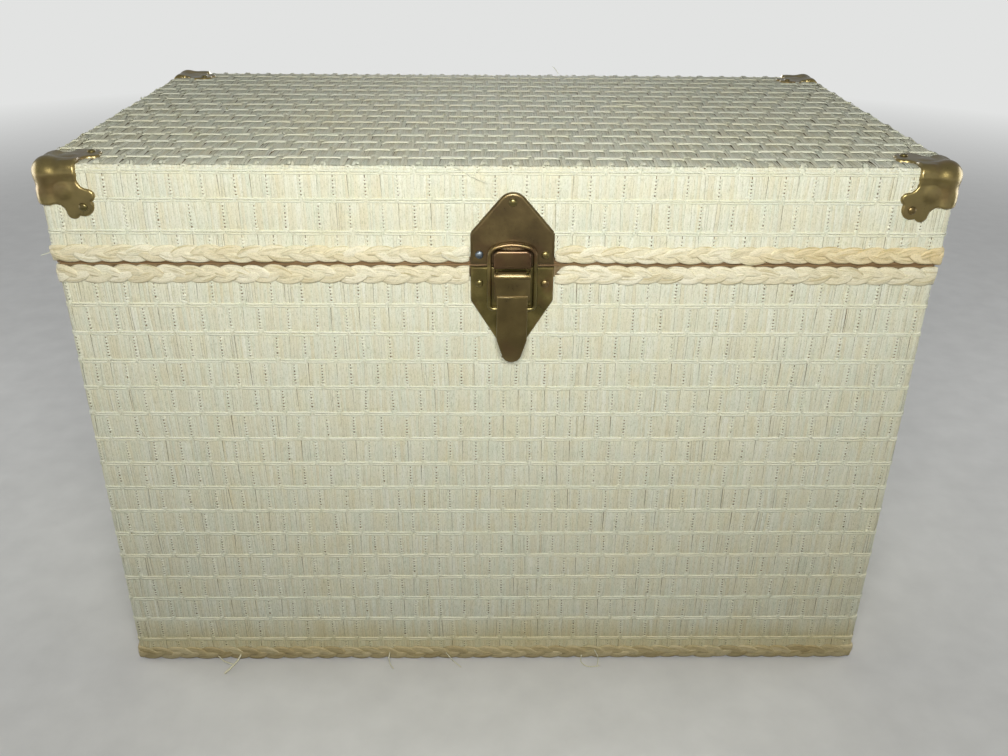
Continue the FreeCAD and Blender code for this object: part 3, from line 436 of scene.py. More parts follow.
class Weave:
    """Collects the grids of one sheet of matting, then makes its pieces. Its numbers are millimetres:
    how far a cord's dip reaches, how tufts and cords stand out, how wide the split in a brick's
    middle is and how high the middle rises, and shares of the usual width and steepness."""

    dip_reach = 1.6
    tuft_rise = -0.2
    cord_rise = -0.3
    split_wide = 0.5
    dome_rise = 0.0
    column_wide = 1.0
    tuft_wide = 0.5
    tuft_steep = 1.0

    def __init__(self, surface, bricks, offsets, closed, **numbers):
        self.surface = surface
        self.bricks = bricks
        self.pitch = surface.length / bricks
        self.offsets = offsets
        self.closed = closed
        self.straws, self.rungs, self.tufts, self.cords = [], [], [], []
        vars(self).update(numbers)

    def grid(self, store, lightest_from, *values):
        """Keeps grids with the marks that the straw material reads. The values are the places along,
        up and out, and the marks across and along."""
        along, height, out, *marks = np.broadcast_arrays(*values)
        number = rng.uniform(lightest_from, 1.0, along.shape[0])
        marks.append(np.broadcast_to(number[:, None, None], along.shape))
        store.append((self.surface.at(along, height, out), np.stack(marks, axis=-1)))

    def lay(self, levels, clip_low, clip_high, first_cord=0):
        """The bands between neighbouring levels, then the cords on all levels but the outer two."""
        for number, ends in enumerate(zip(levels, levels[1:])):
            self.band(number, min(ends), max(ends), clip_low, clip_high)
        for number, level in enumerate(levels[1:-1]):
            self.cord_pair(number + first_cord, level)

    def band(self, number, low, high, clip_low, clip_high):
        """One band of bricks between two rows of cords."""
        before = 0 if self.closed else 1
        count = self.bricks + before
        places = self.offsets[number % 2] + self.pitch * (np.arange(count + 1) - before)
        tops = rng.normal(0, COLUMN_WANDER, count + 1)
        bottoms = tops + rng.normal(0, COLUMN_LEAN, count + 1)
        opening = rng.uniform(*OPEN_SHARE, count + 1) * OPEN_WIDE
        if self.closed:
            for values in (tops, bottoms, opening):
                values[-1] = values[0]
        foot, head = (places + bottoms)[:, None, None], (places + tops)[:, None, None]
        gap_foot, gap_head = ((share * self.column_wide * opening)[:, None, None]
                              for share in (COLUMN_BOTTOM, COLUMN_TOP))
        left = between((foot + gap_foot)[:-1], (head + gap_head)[:-1], STRAW_STEPS)
        right = between((foot - gap_foot)[1:], (head - gap_head)[1:], STRAW_STEPS)
        shares = np.zeros((count, STRAWS + 1, 1))
        shares[:, 1:, 0] = np.cumsum(rng.uniform(*STRAW_WEIGHT, (count, STRAWS)), axis=1)
        shares /= shares[:, -1:]
        stray = rng.normal(0, STRAW_STRAY, shares.shape)
        stray[:, 0] = stray[:, -1] = 0
        lines = left + (right - left) * (shares + stray * (1 - STRAW_STEPS))
        slack = rng.uniform(*STRAW_SLACK, (count, STRAWS, 1))
        slack[rng.random(slack.shape) < LOOSE_SHARE] += LOOSE_SLACK
        left = lines[:, :-1] + slack / 2
        right = lines[:, 1:] - slack / 2
        split = rng.uniform(*SPLIT_WIDTHS, (count, 1)) * self.split_wide
        split = split * (rng.random((count, 1)) < SPLIT_SHARE)
        split = split * (SPLIT_FOOT + (1 - SPLIT_FOOT) * STRAW_STEPS) / 2
        left[:, MIDDLE] += split
        right[:, MIDDLE - 1] -= split
        rise = STRAW_RISE + rng.normal(0, STRAW_UNEVEN, slack.shape)
        tilt = rng.normal(0, STRAW_UNEVEN, slack.shape)
        height = np.clip(low + (high - low) * STRAW_STEPS, clip_low, clip_high) + 0 * rise
        if self.dome_rise > 0:
            rise[:, MIDDLE - 1:MIDDLE + 1] += DOME_RISE_SHARES * self.dome_rise
            height[:, MIDDLE - 1:MIDDLE + 1] += DOME_REACH
        along = np.stack([left, (left + right) / 2, right], axis=-1)
        out = np.stack([rise - STRAW_THICK - tilt, rise, rise - STRAW_THICK + tilt], axis=-1) - STRAW_SUNK
        across = (right - left)[..., None] / 2 * SIDE
        along, height, out, across = (values.reshape(count * STRAWS, len(STRAW_STEPS), -1)
                                      for values in (along, height, out, across))
        self.grid(self.straws, 0.0, along, height, out, across, height)
        self.column_rungs(places[:-1], bottoms[:-1], tops[:-1], low, high, clip_low, clip_high)
        self.column_tufts((places + bottoms)[:-1], max(low, clip_low + TUFT_ABOVE_CLIP))

    def column_rungs(self, places, bottoms, tops, low, high, clip_low, clip_high):
        """Short cross threads that bridge the open columns."""
        clear = CORD_APART / 2 + CORD_RADIUS
        levels = np.arange(low + clear + RUNGS_ABOVE_CORD, high - clear - RUNGS_BELOW_CORD, RUNGS_APART)
        levels = levels[(levels > clip_low) & (levels < clip_high)]
        if not len(levels):
            return
        share = (levels - low) / (high - low)
        centre = places[:, None] + bottoms[:, None] * (1 - share) + tops[:, None] * share
        centre = centre.reshape(-1, 1, 1)
        level = np.tile(levels, len(places))[:, None, None] + rng.normal(0, RUNG_STRAY, centre.shape)
        half = RUNG_HALF * math.sqrt(self.column_wide) * rng.uniform(*RUNG_LENGTHS, centre.shape)
        slope = rng.normal(0, RUNG_SLOPE, centre.shape)
        height = level + slope * half * RUNG_RUN + RUNG_THICK * SIDE
        out = RUNG_BOW - RUNG_FALL * np.abs(SIDE) + rng.normal(0, RUNG_UNEVEN, centre.shape)
        run = half * RUNG_RUN
        self.grid(self.rungs, 0.5, centre + run, height, out, RUNG_THICK * SIDE, run)

    def column_tufts(self, places, low):
        """Small fans of straw where an open column ends on the cords below it."""
        across = self.tuft_wide * SIDE
        for lean in TUFT_LEANS:
            root = places[rng.random(len(places)) < TUFT_SHARE][:, None, None]
            root = root + rng.normal(0, TUFT_STRAY, root.shape)
            tip = root + lean * rng.uniform(*TUFT_SPREAD, root.shape)
            bottom = low - CORD_APART * rng.uniform(*TUFT_FOOTS, root.shape)
            top = low + TUFT_LONG * rng.uniform(*TUFT_TIPS, root.shape)
            height = between(bottom, top, TUFT_RUN)
            out = TUFT_ARCH * self.tuft_steep + self.tuft_rise - TUFT_FALL * np.abs(SIDE)
            out = out + rng.normal(0, TUFT_UNEVEN, root.shape)
            self.grid(self.tufts, 0.4, between(tip, root, TUFT_RUN) + across, height, out, across, height)

    def cord_pair(self, number, level):
        """Two level cords that dip where the columns above end."""
        length = self.surface.length
        count = int(round(length / CORD_STEP))
        station = np.linspace(0, length, count, endpoint=not self.closed)
        above = self.offsets[number % 2]
        phase = np.mod(station - above - 0.3 + self.pitch / 2, self.pitch) - self.pitch / 2
        dip = bulge(phase, self.dip_reach)
        station = station[:, None]
        for way in (-1, 1):
            wander = waves(count, *CORD_WANDER)[:, None]
            lift = (waves(count, *CORD_LIFT) - CORD_DIP * dip)[:, None]
            height = level + way * CORD_APART / 2 + wander + CORD_RADIUS * np.sin(CORD_ANGLES)
            out = lift + CORD_RADIUS * np.cos(CORD_ANGLES) + self.cord_rise
            across = CORD_RADIUS * CORD_ANGLES + CORD_TWIST * station
            self.grid(self.cords, 0.4, station[None], height[None], out[None], across[None], station[None])

    def pieces(self, name, body, material):
        """The straws, their cross threads and tufts, and the cords, in place of the node of that name.
        The straws of a wall with many bands are two pieces."""
        half = len(self.straws)
        if half * self.bricks > BRICKS_IN_A_PIECE:
            half //= 2
        parts = {"straws": self.straws[:half], "lower_straws": self.straws[half:],
                 "rungs": self.rungs, "tufts": self.tufts, "cords": self.cords}
        for part, store in parts.items():
            if store:
                points, marks = pile(store)
                wrap = self.closed and part == "cords"
                piece = grid_mesh(f"{name}_{part}", points, material, marks, wrap_rows=wrap)
                hand_over(piece, body, name if part == "straws" else None)


CORNER_ROUND = 4.0
EDGE_ROUND = 2.4
# how far below the matting's face its dark ground begins and ends
GROUND_TOP, GROUND_FOOT = 1.25, 1.95


def ground_band(name, wall, low, high, body, material):
    """The dark ground behind the straws of the upright faces: a thin closed band."""
    steps = []
    for start, straight in zip(wall.starts, wall.straight):
        steps += list(start + np.linspace(0, straight, 12))
        steps += list(start + straight + np.linspace(0, wall.bend, 6)[1:-1])
    out = np.array([-GROUND_TOP, -GROUND_TOP, -GROUND_FOOT, -GROUND_FOOT])
    points = wall.at(np.array(steps)[:, None], np.array([low, high, high, low]), out)
    piece = grid_mesh(name, points[None], material, None, wrap_rows=True, wrap_columns=True, smooth=False)
    hand_over(piece, body)


# bricks round a wall or across the top, and where the columns of even and of odd bands begin
BOX_BRICKS, LID_BRICKS, TOP_BRICKS = (94, (19.5, 9.4)), (89, (8.0, 18.7)), (29, (-0.5, 10.0))
# levels of the cords, with the end of the outer band at each end; on the lid's top, distances from
# its front edge
BOX_ROWS = 324.8 - 21.73 * np.arange(-1, 16)
LID_ROWS = (433.3, 419.3, 400.2, 377.8, 356.1)
TOP_FIRST_ROW, TOP_PITCH, TOP_ROWS, TOP_LAST_ROW = 19.8, 21.9, 15, 4.0
# where the straws end, from the lower and upper edge of a wall's matting
BOX_CLIP, LID_CLIP = (4.0, -5.0), (3.0, 1.4)
TOP_INSET, TOP_OVERHANG, TOP_GROUND_INSET = 0.3, 0.2, 1.0
CLEAR_OF_CAPS = 10.0


def box_matting(material, ground):
    low, high = box_mm("box_matting")
    wall = Wall(high[0], high[1], CORNER_ROUND)
    weave = Weave(wall, *BOX_BRICKS, True, column_wide=1.15)
    weave.lay(BOX_ROWS, low[2] + BOX_CLIP[0], high[2] + BOX_CLIP[1])
    weave.pieces("box_matting", "box", material)
    ground_band("box_matting_ground", wall, low[2], high[2], "box", ground)
    return wall


def lid_matting(material, ground):
    low, high = box_mm("lid_side_matting")
    top = box_mm("lid_top_matting")[1][2]
    wall = Wall(high[0], high[1], CORNER_ROUND, top, EDGE_ROUND)
    weave = Weave(wall, *LID_BRICKS, True)
    weave.lay(LID_ROWS, low[2] + LID_CLIP[0], top + LID_CLIP[1])
    weave.pieces("lid_side_matting", "lid", material)
    ground_band("lid_side_ground", wall, low[2], top - EDGE_ROUND, "lid", ground)
    return wall


def top_matting(material, ground):
    high = box_mm("lid_top_matting")[1]
    half_x, half_y = high[:2] - TOP_INSET
    table = Table(half_x, half_y, high[2], EDGE_ROUND)
    weave = Weave(table, *TOP_BRICKS, False, dip_reach=1.9, tuft_rise=0.6, cord_rise=0.3,
                  split_wide=0.12, dome_rise=1.6, tuft_wide=0.8, tuft_steep=2.0)
    rows = -half_y + TOP_FIRST_ROW + TOP_PITCH * np.arange(TOP_ROWS)
    rows = rows[rows < half_y - TOP_LAST_ROW]
    weave.lay([rows[0] - TOP_PITCH, *rows, rows[-1] + TOP_PITCH], -half_y, half_y, 1)
    for store in (weave.straws, weave.rungs, weave.tufts):
        trim(store, half_x, half_y)
    for store in (weave.straws, weave.rungs, weave.tufts, weave.cords):
        press(store)
    weave.pieces("lid_top_matting", "lid", material)
    x, y, cut = half_x - TOP_GROUND_INSET, half_y - TOP_GROUND_INSET, CLEAR_OF_CAPS
    outline = np.array([(-x + cut, -y), (x - cut, -y), (x, -y + cut), (x, y - cut),
                        (x - cut, y), (-x + cut, y), (-x, y - cut), (-x, -y + cut)])
    count = len(outline)
    points = np.concatenate([np.column_stack([outline, np.full(count, high[2] - below)])
                             for below in (GROUND_FOOT, GROUND_TOP)])
    sides = [(n, (n + 1) % count, (n + 1) % count + count, n + count) for n in range(count)]
    faces = [tuple(range(count))[::-1], tuple(range(count, 2 * count))] + sides
    hand_over(poly_mesh("lid_top_ground", points, faces, ground), "lid")


def trim(store, half_x, half_y):
    """Leaves out what would lie off the top or under the bulges of the corner caps."""
    for place, (points, marks) in enumerate(store):
        middle = np.abs(points.mean(axis=(1, 2)))
        near = (middle[:, 0] > half_x - CLEAR_OF_CAPS) & (middle[:, 1] > half_y - CLEAR_OF_CAPS)
        keep = ~near & (middle[:, 0] < half_x)
        points = points[keep]
        points[..., 0] = np.clip(points[..., 0], -half_x - TOP_OVERHANG, half_x + TOP_OVERHANG)
        store[place] = (points, marks[keep])


# A cap reaches this far from its corner, and the straws beside it are pressed down over this width.
CAP_REACH = 44.0
PRESSED_BESIDE, PRESSED_BELOW = 3.0, 0.2


def press(store):
    """Presses what lies under a corner cap, or beside its edge, down below the cap's sheet."""
    sides = box_mm("lid_side_matting")[1]
    level = box_mm("lid_top_matting")[1][2] - PRESSED_BELOW
    free, shared = cap_outline()
    outline = np.concatenate([free, shared])
    for place, (points, marks) in enumerate(store):
        flat = points.reshape(-1, 3).copy()
        inward = sides[:2] - np.abs(flat[:, :2])
        near = np.flatnonzero((inward < CAP_REACH).all(axis=1))
        spots = inward[near] @ (1, 1j)
        share = np.clip(1 - gap_to(spots, free) / PRESSED_BESIDE, 0, 1)
        share[lies_inside(spots, outline)] = 1.0
        flat[near, 2] += share * np.minimum(level - flat[near, 2], 0)
        store[place] = (flat.reshape(points.shape), marks)


# Braids: flat plaits seen as two rows of leaves that dive under each other along the middle.
# The outline of a leaf is in shares of the lobe's length and of half the braid's width.
LOBE = 14.6
LEAF_LOWER = np.array([(-0.12, -0.72), (0.05, -0.9), (0.3, -1.0), (0.62, -0.98), (0.95, -0.8),
                       (1.2, -0.42), (1.46, 0.06)])
LEAF_UPPER = np.array([(-0.34, -0.2), (-0.1, -0.06), (0.2, 0.04), (0.52, 0.14), (0.86, 0.24),
                       (1.14, 0.3), (1.42, 0.34)])
LEAF_LIFT = np.array([[-1.15], [-0.65], [-0.1], [0.3], [0.62], [0.6], [-0.4]])
LEAF_STEPS = 11
LEAF_ACROSS = np.array([-1, -0.93, -0.7, -0.47, -0.23, 0, 0.23, 0.47, 0.7, 0.93, 1])
LEAF_ARCH = np.array([-1.3, -0.2, 0.1, 0.2, 0.3, 0.22, 0.32, 0.2, 0.12, -0.15, -1.0])
LEAF_STAND = 1.3
LEAF_SPREAD = 1.06
# how leaves differ in length, width, arch, ripples and lean
LEAF_LONG, LEAF_WIDE, LEAF_ARCHES, LEAF_RIPPLE, LEAF_LEAN = 0.035, 0.025, (0.85, 1.1), 0.05, 0.04
CLEAR_OF_FLOOR = 0.2


def stretched(values, count):
    """Values at evenly spread places between given ones."""
    at = np.linspace(0, 1, count)
    given = np.linspace(0, 1, len(values))
    return np.stack([np.interp(at, given, column) for column in values.T], axis=-1)


def braid(node, wall, body, material, skip=(), way=1, lower=0.0, raise_top=0.0):
    """A flat braid that runs round the chest, cut at the given stretches. Its leaves reach further
    down and up than the frame's band by the given amounts."""
    low, high = box_mm(node)
    middle = (low[2] + high[2] - lower + raise_top) / 2
    half = (high[2] - low[2] + lower + raise_top) / 2
    lobes = round(wall.length / LOBE)
    pitch = wall.length / lobes
    ends = (stretched(outline, LEAF_STEPS)[:, None] for outline in (LEAF_LOWER, LEAF_UPPER))
    shape = between(*ends, ((LEAF_ACROSS + 1) / 2)[:, None])
    lift = stretched(LEAF_LIFT, LEAF_STEPS)
    each = (lobes, 1, 1)
    grids = []
    for edge in (-1, 1):
        start = pitch * (np.arange(lobes).reshape(each) + (0.0 if edge < 0 else 0.5))
        along = shape[..., 0] * pitch * rng.normal(1, LEAF_LONG, each)
        up = shape[..., 1] * half * (1 + rng.normal(0, LEAF_WIDE, each))
        out = LEAF_STAND + lift + LEAF_ARCH * rng.uniform(*LEAF_ARCHES, each)
        out = out + rng.normal(0, LEAF_RIPPLE, (lobes, 1, len(LEAF_ACROSS)))
        station = start + way * along
        height = middle - edge * (up * LEAF_SPREAD + rng.normal(0, LEAF_LEAN, each) * along)
        for begin, end in skip:
            inside = (station > begin) & (station < end)
            station = np.where(inside, np.where(station < (begin + end) / 2, begin, end), station)
            core = start + way * pitch * 0.5
            keep = ~((core > begin) & (core < end)).ravel()
            start, along, height, out, station = (v[keep] for v in (start, along, height, out, station))
        points = wall.at(station, np.maximum(height, CLEAR_OF_FLOOR), np.maximum(out, 0.0))
        if (edge > 0) == (way > 0):
            points = points[:, :, ::-1]
        number = rng.random(len(points))[:, None, None]
        marks = np.broadcast_arrays(LEAF_ACROSS * half * 0.5, along, number)
        grids.append((points, np.stack(marks, axis=-1)))
    points, marks = pile(grids)
    hand_over(grid_mesh(node + "_plait", points, material, marks), body, node)


PLATE_MARGIN = 0.8


def plate_gaps(wall, latch):
    """Where the plate of the latch and the hinges interrupt a rim braid, as distances along the wall."""
    front, back = wall.centres[0].real, wall.starts[2] + wall.centres[2].real
    found = []
    for node in (latch, "left_hinge_upper", "right_hinge_upper"):
        low, high = (corner[0] for corner in box_mm(node))
        begin, end = (low - front, high - front) if node == latch else (back - high, back - low)
        found.append((begin - PLATE_MARGIN, end + PLATE_MARGIN))
    return found


# Corner caps: one formed sheet over each corner of the lid. Over each face it is a height above that
# face: round bands along two edges, a ball where they meet, an ear, and raised beads. A place on a
# face, and on a flat plate below, is a complex number.
CAP_BAND_END = 27.3
CAP_SHEET = 1.4
# how far from the lid's edges the ears leave the bands
EAR_ROOT = 5.0
CAP_STEP = 0.8
# half of an ear's outline, up to its tip: arcs through three points each, and the points on each arc
EAR_POINTS = np.array([27.2 + 7.6j, 27.7 + 13.4j, 32.6 + 16.6j, 36.9 + 20.6j, 34.7 + 24.9j, 33 + 33j])
EAR_STEPS = (8, 12, 20, 12, 8)
BALL_RADIUS, BALL_INSET = 10.3, 6.9
# distance from the corner, radius of the band there, and how deep its middle lies
BAND_SHAPE = np.array([(0.0, 10.3, 6.9), (7.0, 10.2, 6.9), (12.0, 9.0, 6.2), (16.0, 8.0, 5.6),
                       (20.0, 7.6, 5.3), (24.0, 7.7, 5.3), (27.5, 8.0, 5.3)])
BEAD_AT, BEAD_LONG, BEAD_WIDE, BEAD_RISE = 20.5, 4.6, 3.4, 0.7
BOSS_AT, BOSS_RADIUS, BOSS_RISE = 17.2, 5.2, 0.6
FILLET = 2.2
CAP_LIP, CAP_LIP_WIDE, CAP_SKIRT = 0.9, 1.3, 2.4


def mirrored(points):
    """Places with their distances from the two edges exchanged."""
    return 1j * np.conj(points)


def arc_points(a, b, c, steps):
    """Points on the circle through three points, from the first to the last, without the last."""
    w = (c - a) / (b - a)
    centre = a + (b - a) * (w - abs(w) ** 2) / (2j * w.imag)
    mid, turn = (np.angle((point - centre) / (a - centre)) % math.tau for point in (b, c))
    if mid > turn:
        turn -= math.tau
    return centre + (a - centre) * np.exp(1j * turn * np.arange(steps) / steps)


def ear_outline():
    around = np.concatenate([EAR_POINTS, mirrored(EAR_POINTS[-2::-1])])
    found = [arc_points(*around[2 * n:2 * n + 3], steps) for n, steps in enumerate(EAR_STEPS)]
    return np.concatenate([*found, around[-1:]])


def fillet(a, b):
    """The higher of two heights, eased where they meet."""
    return np.maximum(a, b) + np.maximum(FILLET - np.abs(a - b), 0) ** 2 / (4 * FILLET)


def cap_inset(along):
    return np.interp(along, BAND_SHAPE[:, 0], BAND_SHAPE[:, 2])


def dome(inside, depth):
    """The height of a round form whose middle lies that deep; well below the face outside it."""
    return np.sqrt(np.maximum(inside, 0)) - depth - 2 * (inside < 0)


def cap_height(a, b):
    """Height of a cap above a face of the lid, where a and b are the distances from its two edges."""
    a, b = np.asarray(a, float), np.asarray(b, float)
    boss = bulge(np.hypot(a - BOSS_AT, b - BOSS_AT), BOSS_RADIUS)
    height = CAP_SHEET + BOSS_RISE * boss - 3 * np.maximum(EAR_ROOT - np.minimum(a, b), 0)
    for along, across in ((a, b), (b, a)):
        bead = bulge(along - BEAD_AT, BEAD_LONG) * bulge(np.maximum(across, 0), BEAD_WIDE)
        radius = np.interp(along, BAND_SHAPE[:, 0], BAND_SHAPE[:, 1]) + BEAD_RISE * bead
        depth = cap_inset(along)
        inside = radius ** 2 - (across - depth) ** 2 - np.maximum(BALL_INSET - along, 0) ** 2
        height = fillet(height, dome(inside, depth))
    inside = BALL_RADIUS ** 2 - (a - BALL_INSET) ** 2 - (b - BALL_INSET) ** 2
    return np.maximum(height, dome(inside, BALL_INSET))


def cap_outline():
    """The free edge of a cap on one face, then the line it shares with the caps of the next faces.
    That line is where the height is as far out of this face as the place is out of the next."""
    corner = 0.0
    for _ in range(60):
        corner = (corner - float(cap_height(corner, corner))) / 2
    along = np.linspace(corner, CAP_BAND_END, round(CAP_BAND_END / CAP_STEP))[1:]
    across = 0 * along
    for _ in range(60):
        across = (across - cap_height(along, across)) / 2
    shared = along + 1j * across
    side = CAP_BAND_END + 1j * np.linspace(across[-1], EAR_POINTS[0].imag, 10)
    free = np.concatenate([side, ear_outline(), mirrored(side[::-1])])
    return free, np.concatenate([mirrored(shared[-2::-1]), [corner * (1 + 1j)], shared[:-1]])


def lies_inside(points, outline):
    """Which points lie inside a closed outline: those that it goes round."""
    away = outline - points[:, None]
    return np.abs(np.angle(np.roll(away, -1, axis=1) * np.conj(away)).sum(axis=1)) > 1


def gap_to(points, line):
    """How far each point lies from an open line."""
    away, run = points[:, None] - line[:-1], np.diff(line)
    return np.abs(away - np.clip((away / run).real, 0, 1) * run).min(axis=1)


def cap_face():
    """One face of a cap, with a skirt along its free edge: how far each point lies behind the face and
    from its two edges, and the triangles."""
    free, shared = cap_outline()
    outline = np.concatenate([free, shared])
    steps = np.arange(-1, 40, CAP_STEP)
    grid = np.concatenate([steps + CAP_STEP / 2 * (row % 2) + 1j * b for row, b in enumerate(steps)])
    closed = np.append(outline, outline[0])
    grid = grid[lies_inside(grid, outline) & (gap_to(grid, closed) > CAP_STEP * 0.45)]
    given = [Vector((p.real, p.imag)) for p in np.concatenate([outline, grid])]
    made = delaunay_2d_cdt(given, [], [list(range(len(outline)))], 1, 1e-5)
    flat = np.array([p[:] for p in made[0]])
    faces = [tuple(face) for face in made[2]]
    height = cap_height(flat[:, 0], flat[:, 1])
    points = np.column_stack([flat, height])
    # the way in from the sheet: to the middle of a band, or straight down
    inward = np.tile((0.0, 0.0, -1.0), (len(points), 1))
    for along, across in ((0, 1), (1, 0)):
        depth = cap_inset(flat[:, along])
        on_band = (flat[:, across] < depth) & (flat[:, along] > depth)
        inward[on_band, across] = (depth - flat[:, across])[on_band]
        inward[on_band, 2] = -(depth + height)[on_band]
    inward /= np.linalg.norm(inward, axis=1)[:, None]
    away = np.clip(gap_to(flat @ (1, 1j), free) / CAP_LIP_WIDE, 0, 1)
    points += inward * (CAP_LIP * (1 - np.sqrt(1 - (1 - away) ** 2)))[:, None]
    # the free edge's points come first
    count, below = len(free), len(points)
    faces += [(n, below + n, below + n + 1, n + 1) for n in range(count - 1)]
    points = np.concatenate([points, points[:count] + inward[:count] * CAP_SKIRT])
    return points[:, [2, 0, 1]] * (-1, 1, 1), faces


def corner_cap(name, material, face):
    """A cap of the lid, in place of the frame's, on the corner where the frame has it."""
    sign = np.sign(sum(box_mm(name)))
    corner = np.append(box_mm("lid_side_matting")[1][:2], box_mm("lid_top_matting")[1][2])
    points, faces = face
    all_points = np.concatenate([np.roll(points, place, axis=1) for place in range(3)])
    all_faces = [tuple(n + len(points) * place for n in f) for place in range(3) for f in faces]
    piece = poly_mesh(name + "_formed", sign * (corner - all_points), all_faces, material, True)
    build = bmesh.new()
    build.from_mesh(piece.data)
    bmesh.ops.remove_doubles(build, verts=build.verts, dist=0.03 * MM)
    bmesh.ops.recalc_face_normals(build, faces=build.faces)
    build.to_mesh(piece.data)
    build.free()
    hand_over(piece, "lid", name)


def corners(name):
    """The frame's mesh of a piece and its points in millimetres."""
    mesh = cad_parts[name].data
    return mesh, np.array([v.co[:] for v in mesh.vertices]) / MM


def back_outline(name, back):
    """The longest outline of the flat back of a plate of the frame, seen from the front."""
    mesh, points = corners(name)
    first = {}
    same = [first.setdefault(tuple(np.round(p, 2)), n) for n, p in enumerate(points)]
    sides = set()
    for face in mesh.polygons:
        if np.abs(points[list(face.vertices), 1] - back).max() < 0.02:
            ends = [same[v] for v in face.vertices]
            sides.update(zip(ends, ends[1:] + ends[:1]))
    following = {a: b for a, b in sides if (b, a) not in sides}
    loops = []
    while following:
        start, step = following.popitem()
        loop = [start]
        while step != start and step in following:
            loop.append(step)
            step = following.pop(step)
        loops.append(points[loop, 0] + 1j * points[loop, 2])
    return max(loops, key=lambda loop: np.ptp(loop.real) + np.ptp(loop.imag))


def cross(a, b):
    return (np.conj(a) * b).imag


def without_small_arcs(outline):
    """The outline with each run of close points replaced by the corner that the sides beside it meet in."""
    gaps = np.abs(np.roll(outline, -1) - outline)
    first = int(np.argmax(gaps)) + 1
    outline, gaps = np.roll(outline, -first), np.roll(gaps, -first)
    kept = []
    place = 0
    while place < len(outline):
        end = place
        while end < len(outline) - 1 and gaps[end] < ARC_SPACING:
            end += 1
        if end - place > 2:
            a, b = outline[place - 1], outline[place]
            c, d = outline[end], outline[(end + 1) % len(outline)]
            kept.append(a + (b - a) * cross(c - a, d - c) / cross(b - a, d - c))
        else:
            kept += list(outline[place:end + 1])
        place = end + 1
    return np.array(kept)


ARC_SPACING = 0.35
PLATE_RISE = 2.4
ROLL_STEPS = 5
ROLL_FOOT = 0.35


def rolled(outline, back, roll):
    """A sheet in front of a plate's back, with the given outline and edges that roll down to it."""
    outline = outline[np.abs(outline - np.roll(outline, 1)) > 0.05]
    if cross(outline, np.roll(outline, -1)).sum() < 0:
        outline = outline[::-1]
    before = outline - np.roll(outline, 1)
    after = np.roll(outline, -1) - outline
    before /= np.abs(before)
    after /= np.abs(after)
    mitre = 1j * (before + after) / np.maximum(1 + (np.conj(before) * after).real, 0.5)
    turns = math.pi / 2 * np.arange(ROLL_STEPS + 1) / ROLL_STEPS
    insets = [0.0, *roll * (1 - np.cos(turns)), roll + 0.25]
    heights = [0.0, *PLATE_RISE * (ROLL_FOOT + (1 - ROLL_FOOT) * np.sin(turns)), PLATE_RISE]
    count = len(outline)
    rings = [outline + mitre * inset for inset in insets] + [[outline.mean()]]
    depths = np.append(np.repeat(heights, count), PLATE_RISE)
    flat = np.concatenate(rings)
    ahead = [(n + 1) % count for n in range(count)]
    last = count * (len(insets) - 1)
    faces = [(low + n, low + ahead[n], low + count + ahead[n], low + count + n)
             for low in range(0, last, count) for n in range(count)]
    faces += [(last + n, last + ahead[n], last + count) for n in range(count)]
    faces.append(tuple(range(count))[::-1])
    return np.column_stack([flat.real, back - depths, flat.imag]), faces


def latch_plate(name, body, material, roll):
    """A latch plate with rolled edges, and the parts of the frame's plate that stand up from it."""
    back = box_mm(name)[1][1]
    sheet = rolled(without_small_arcs(back_outline(name, back)), back, roll)
    made = [poly_mesh(name + "_sheet", *sheet, material)]
    for face in made[0].data.polygons:
        face.use_smooth = len(face.vertices) == 4
    mesh, points = corners(name)
    raised = [tuple(face.vertices) for face in mesh.polygons
              if points[list(face.vertices), 1].min() < back - PLATE_RISE - 0.1]
    if raised:
        used, faces = np.unique(np.concatenate(raised), return_inverse=True)
        ends = np.cumsum([len(face) for face in raised])[:-1]
        faces = [tuple(face) for face in np.split(faces, ends)]
        made.append(poly_mesh(name + "_eyes", points[used], faces, material))
    hand_over(join(name + "_formed", made), body, name)


HEAD_OUTSIDE, HEAD_INSIDE = 4.02, 3.0
# The head is full wide in front and narrower between the ears where it wraps over the pin: the
# angles where each part begins and ends, and how much narrower it is on each side.
HEAD_TURNS = ((-12, 33, 0.4), (29, 150, 2.75))
# places across the head and the share of its round there
HEAD_ACROSS = ((-1.0, 0.97), (-0.97, 1.0), (-0.5, 1.0), (0, 1.0), (0.5, 1.0), (0.97, 1.0), (1.0, 0.97))


def lever_head(body, material):
    """The rolled top of the lever, which wraps its pin from the front over to the back."""
    low, high = box_mm("latch_lever")
    pivot = sum(box_mm("latch_lever_pin")) / 2
    middle = (high[0] + low[0]) / 2
    made = []
    for number, (start, end, inset) in enumerate(HEAD_TURNS):
        half = (high[0] - low[0]) / 2 - inset
        arc = -np.exp(-1j * np.radians(np.linspace(start, end, 4 + (end - start) // 9)))
        profile = np.concatenate([arc * HEAD_OUTSIDE, arc[::-1] * HEAD_INSIDE])
        share, shrink = np.array(HEAD_ACROSS).T[:, :, None]
        ring = profile * shrink
        x = np.broadcast_to(middle + share * half, ring.shape)
        rows = np.stack([x, pivot[1] + ring.real, pivot[2] + ring.imag], axis=-1)
        made.append(grid_mesh(f"lever_head_{number}", rows[None], material, None, wrap_columns=True))
    hand_over(join("latch_lever_head", made), body)


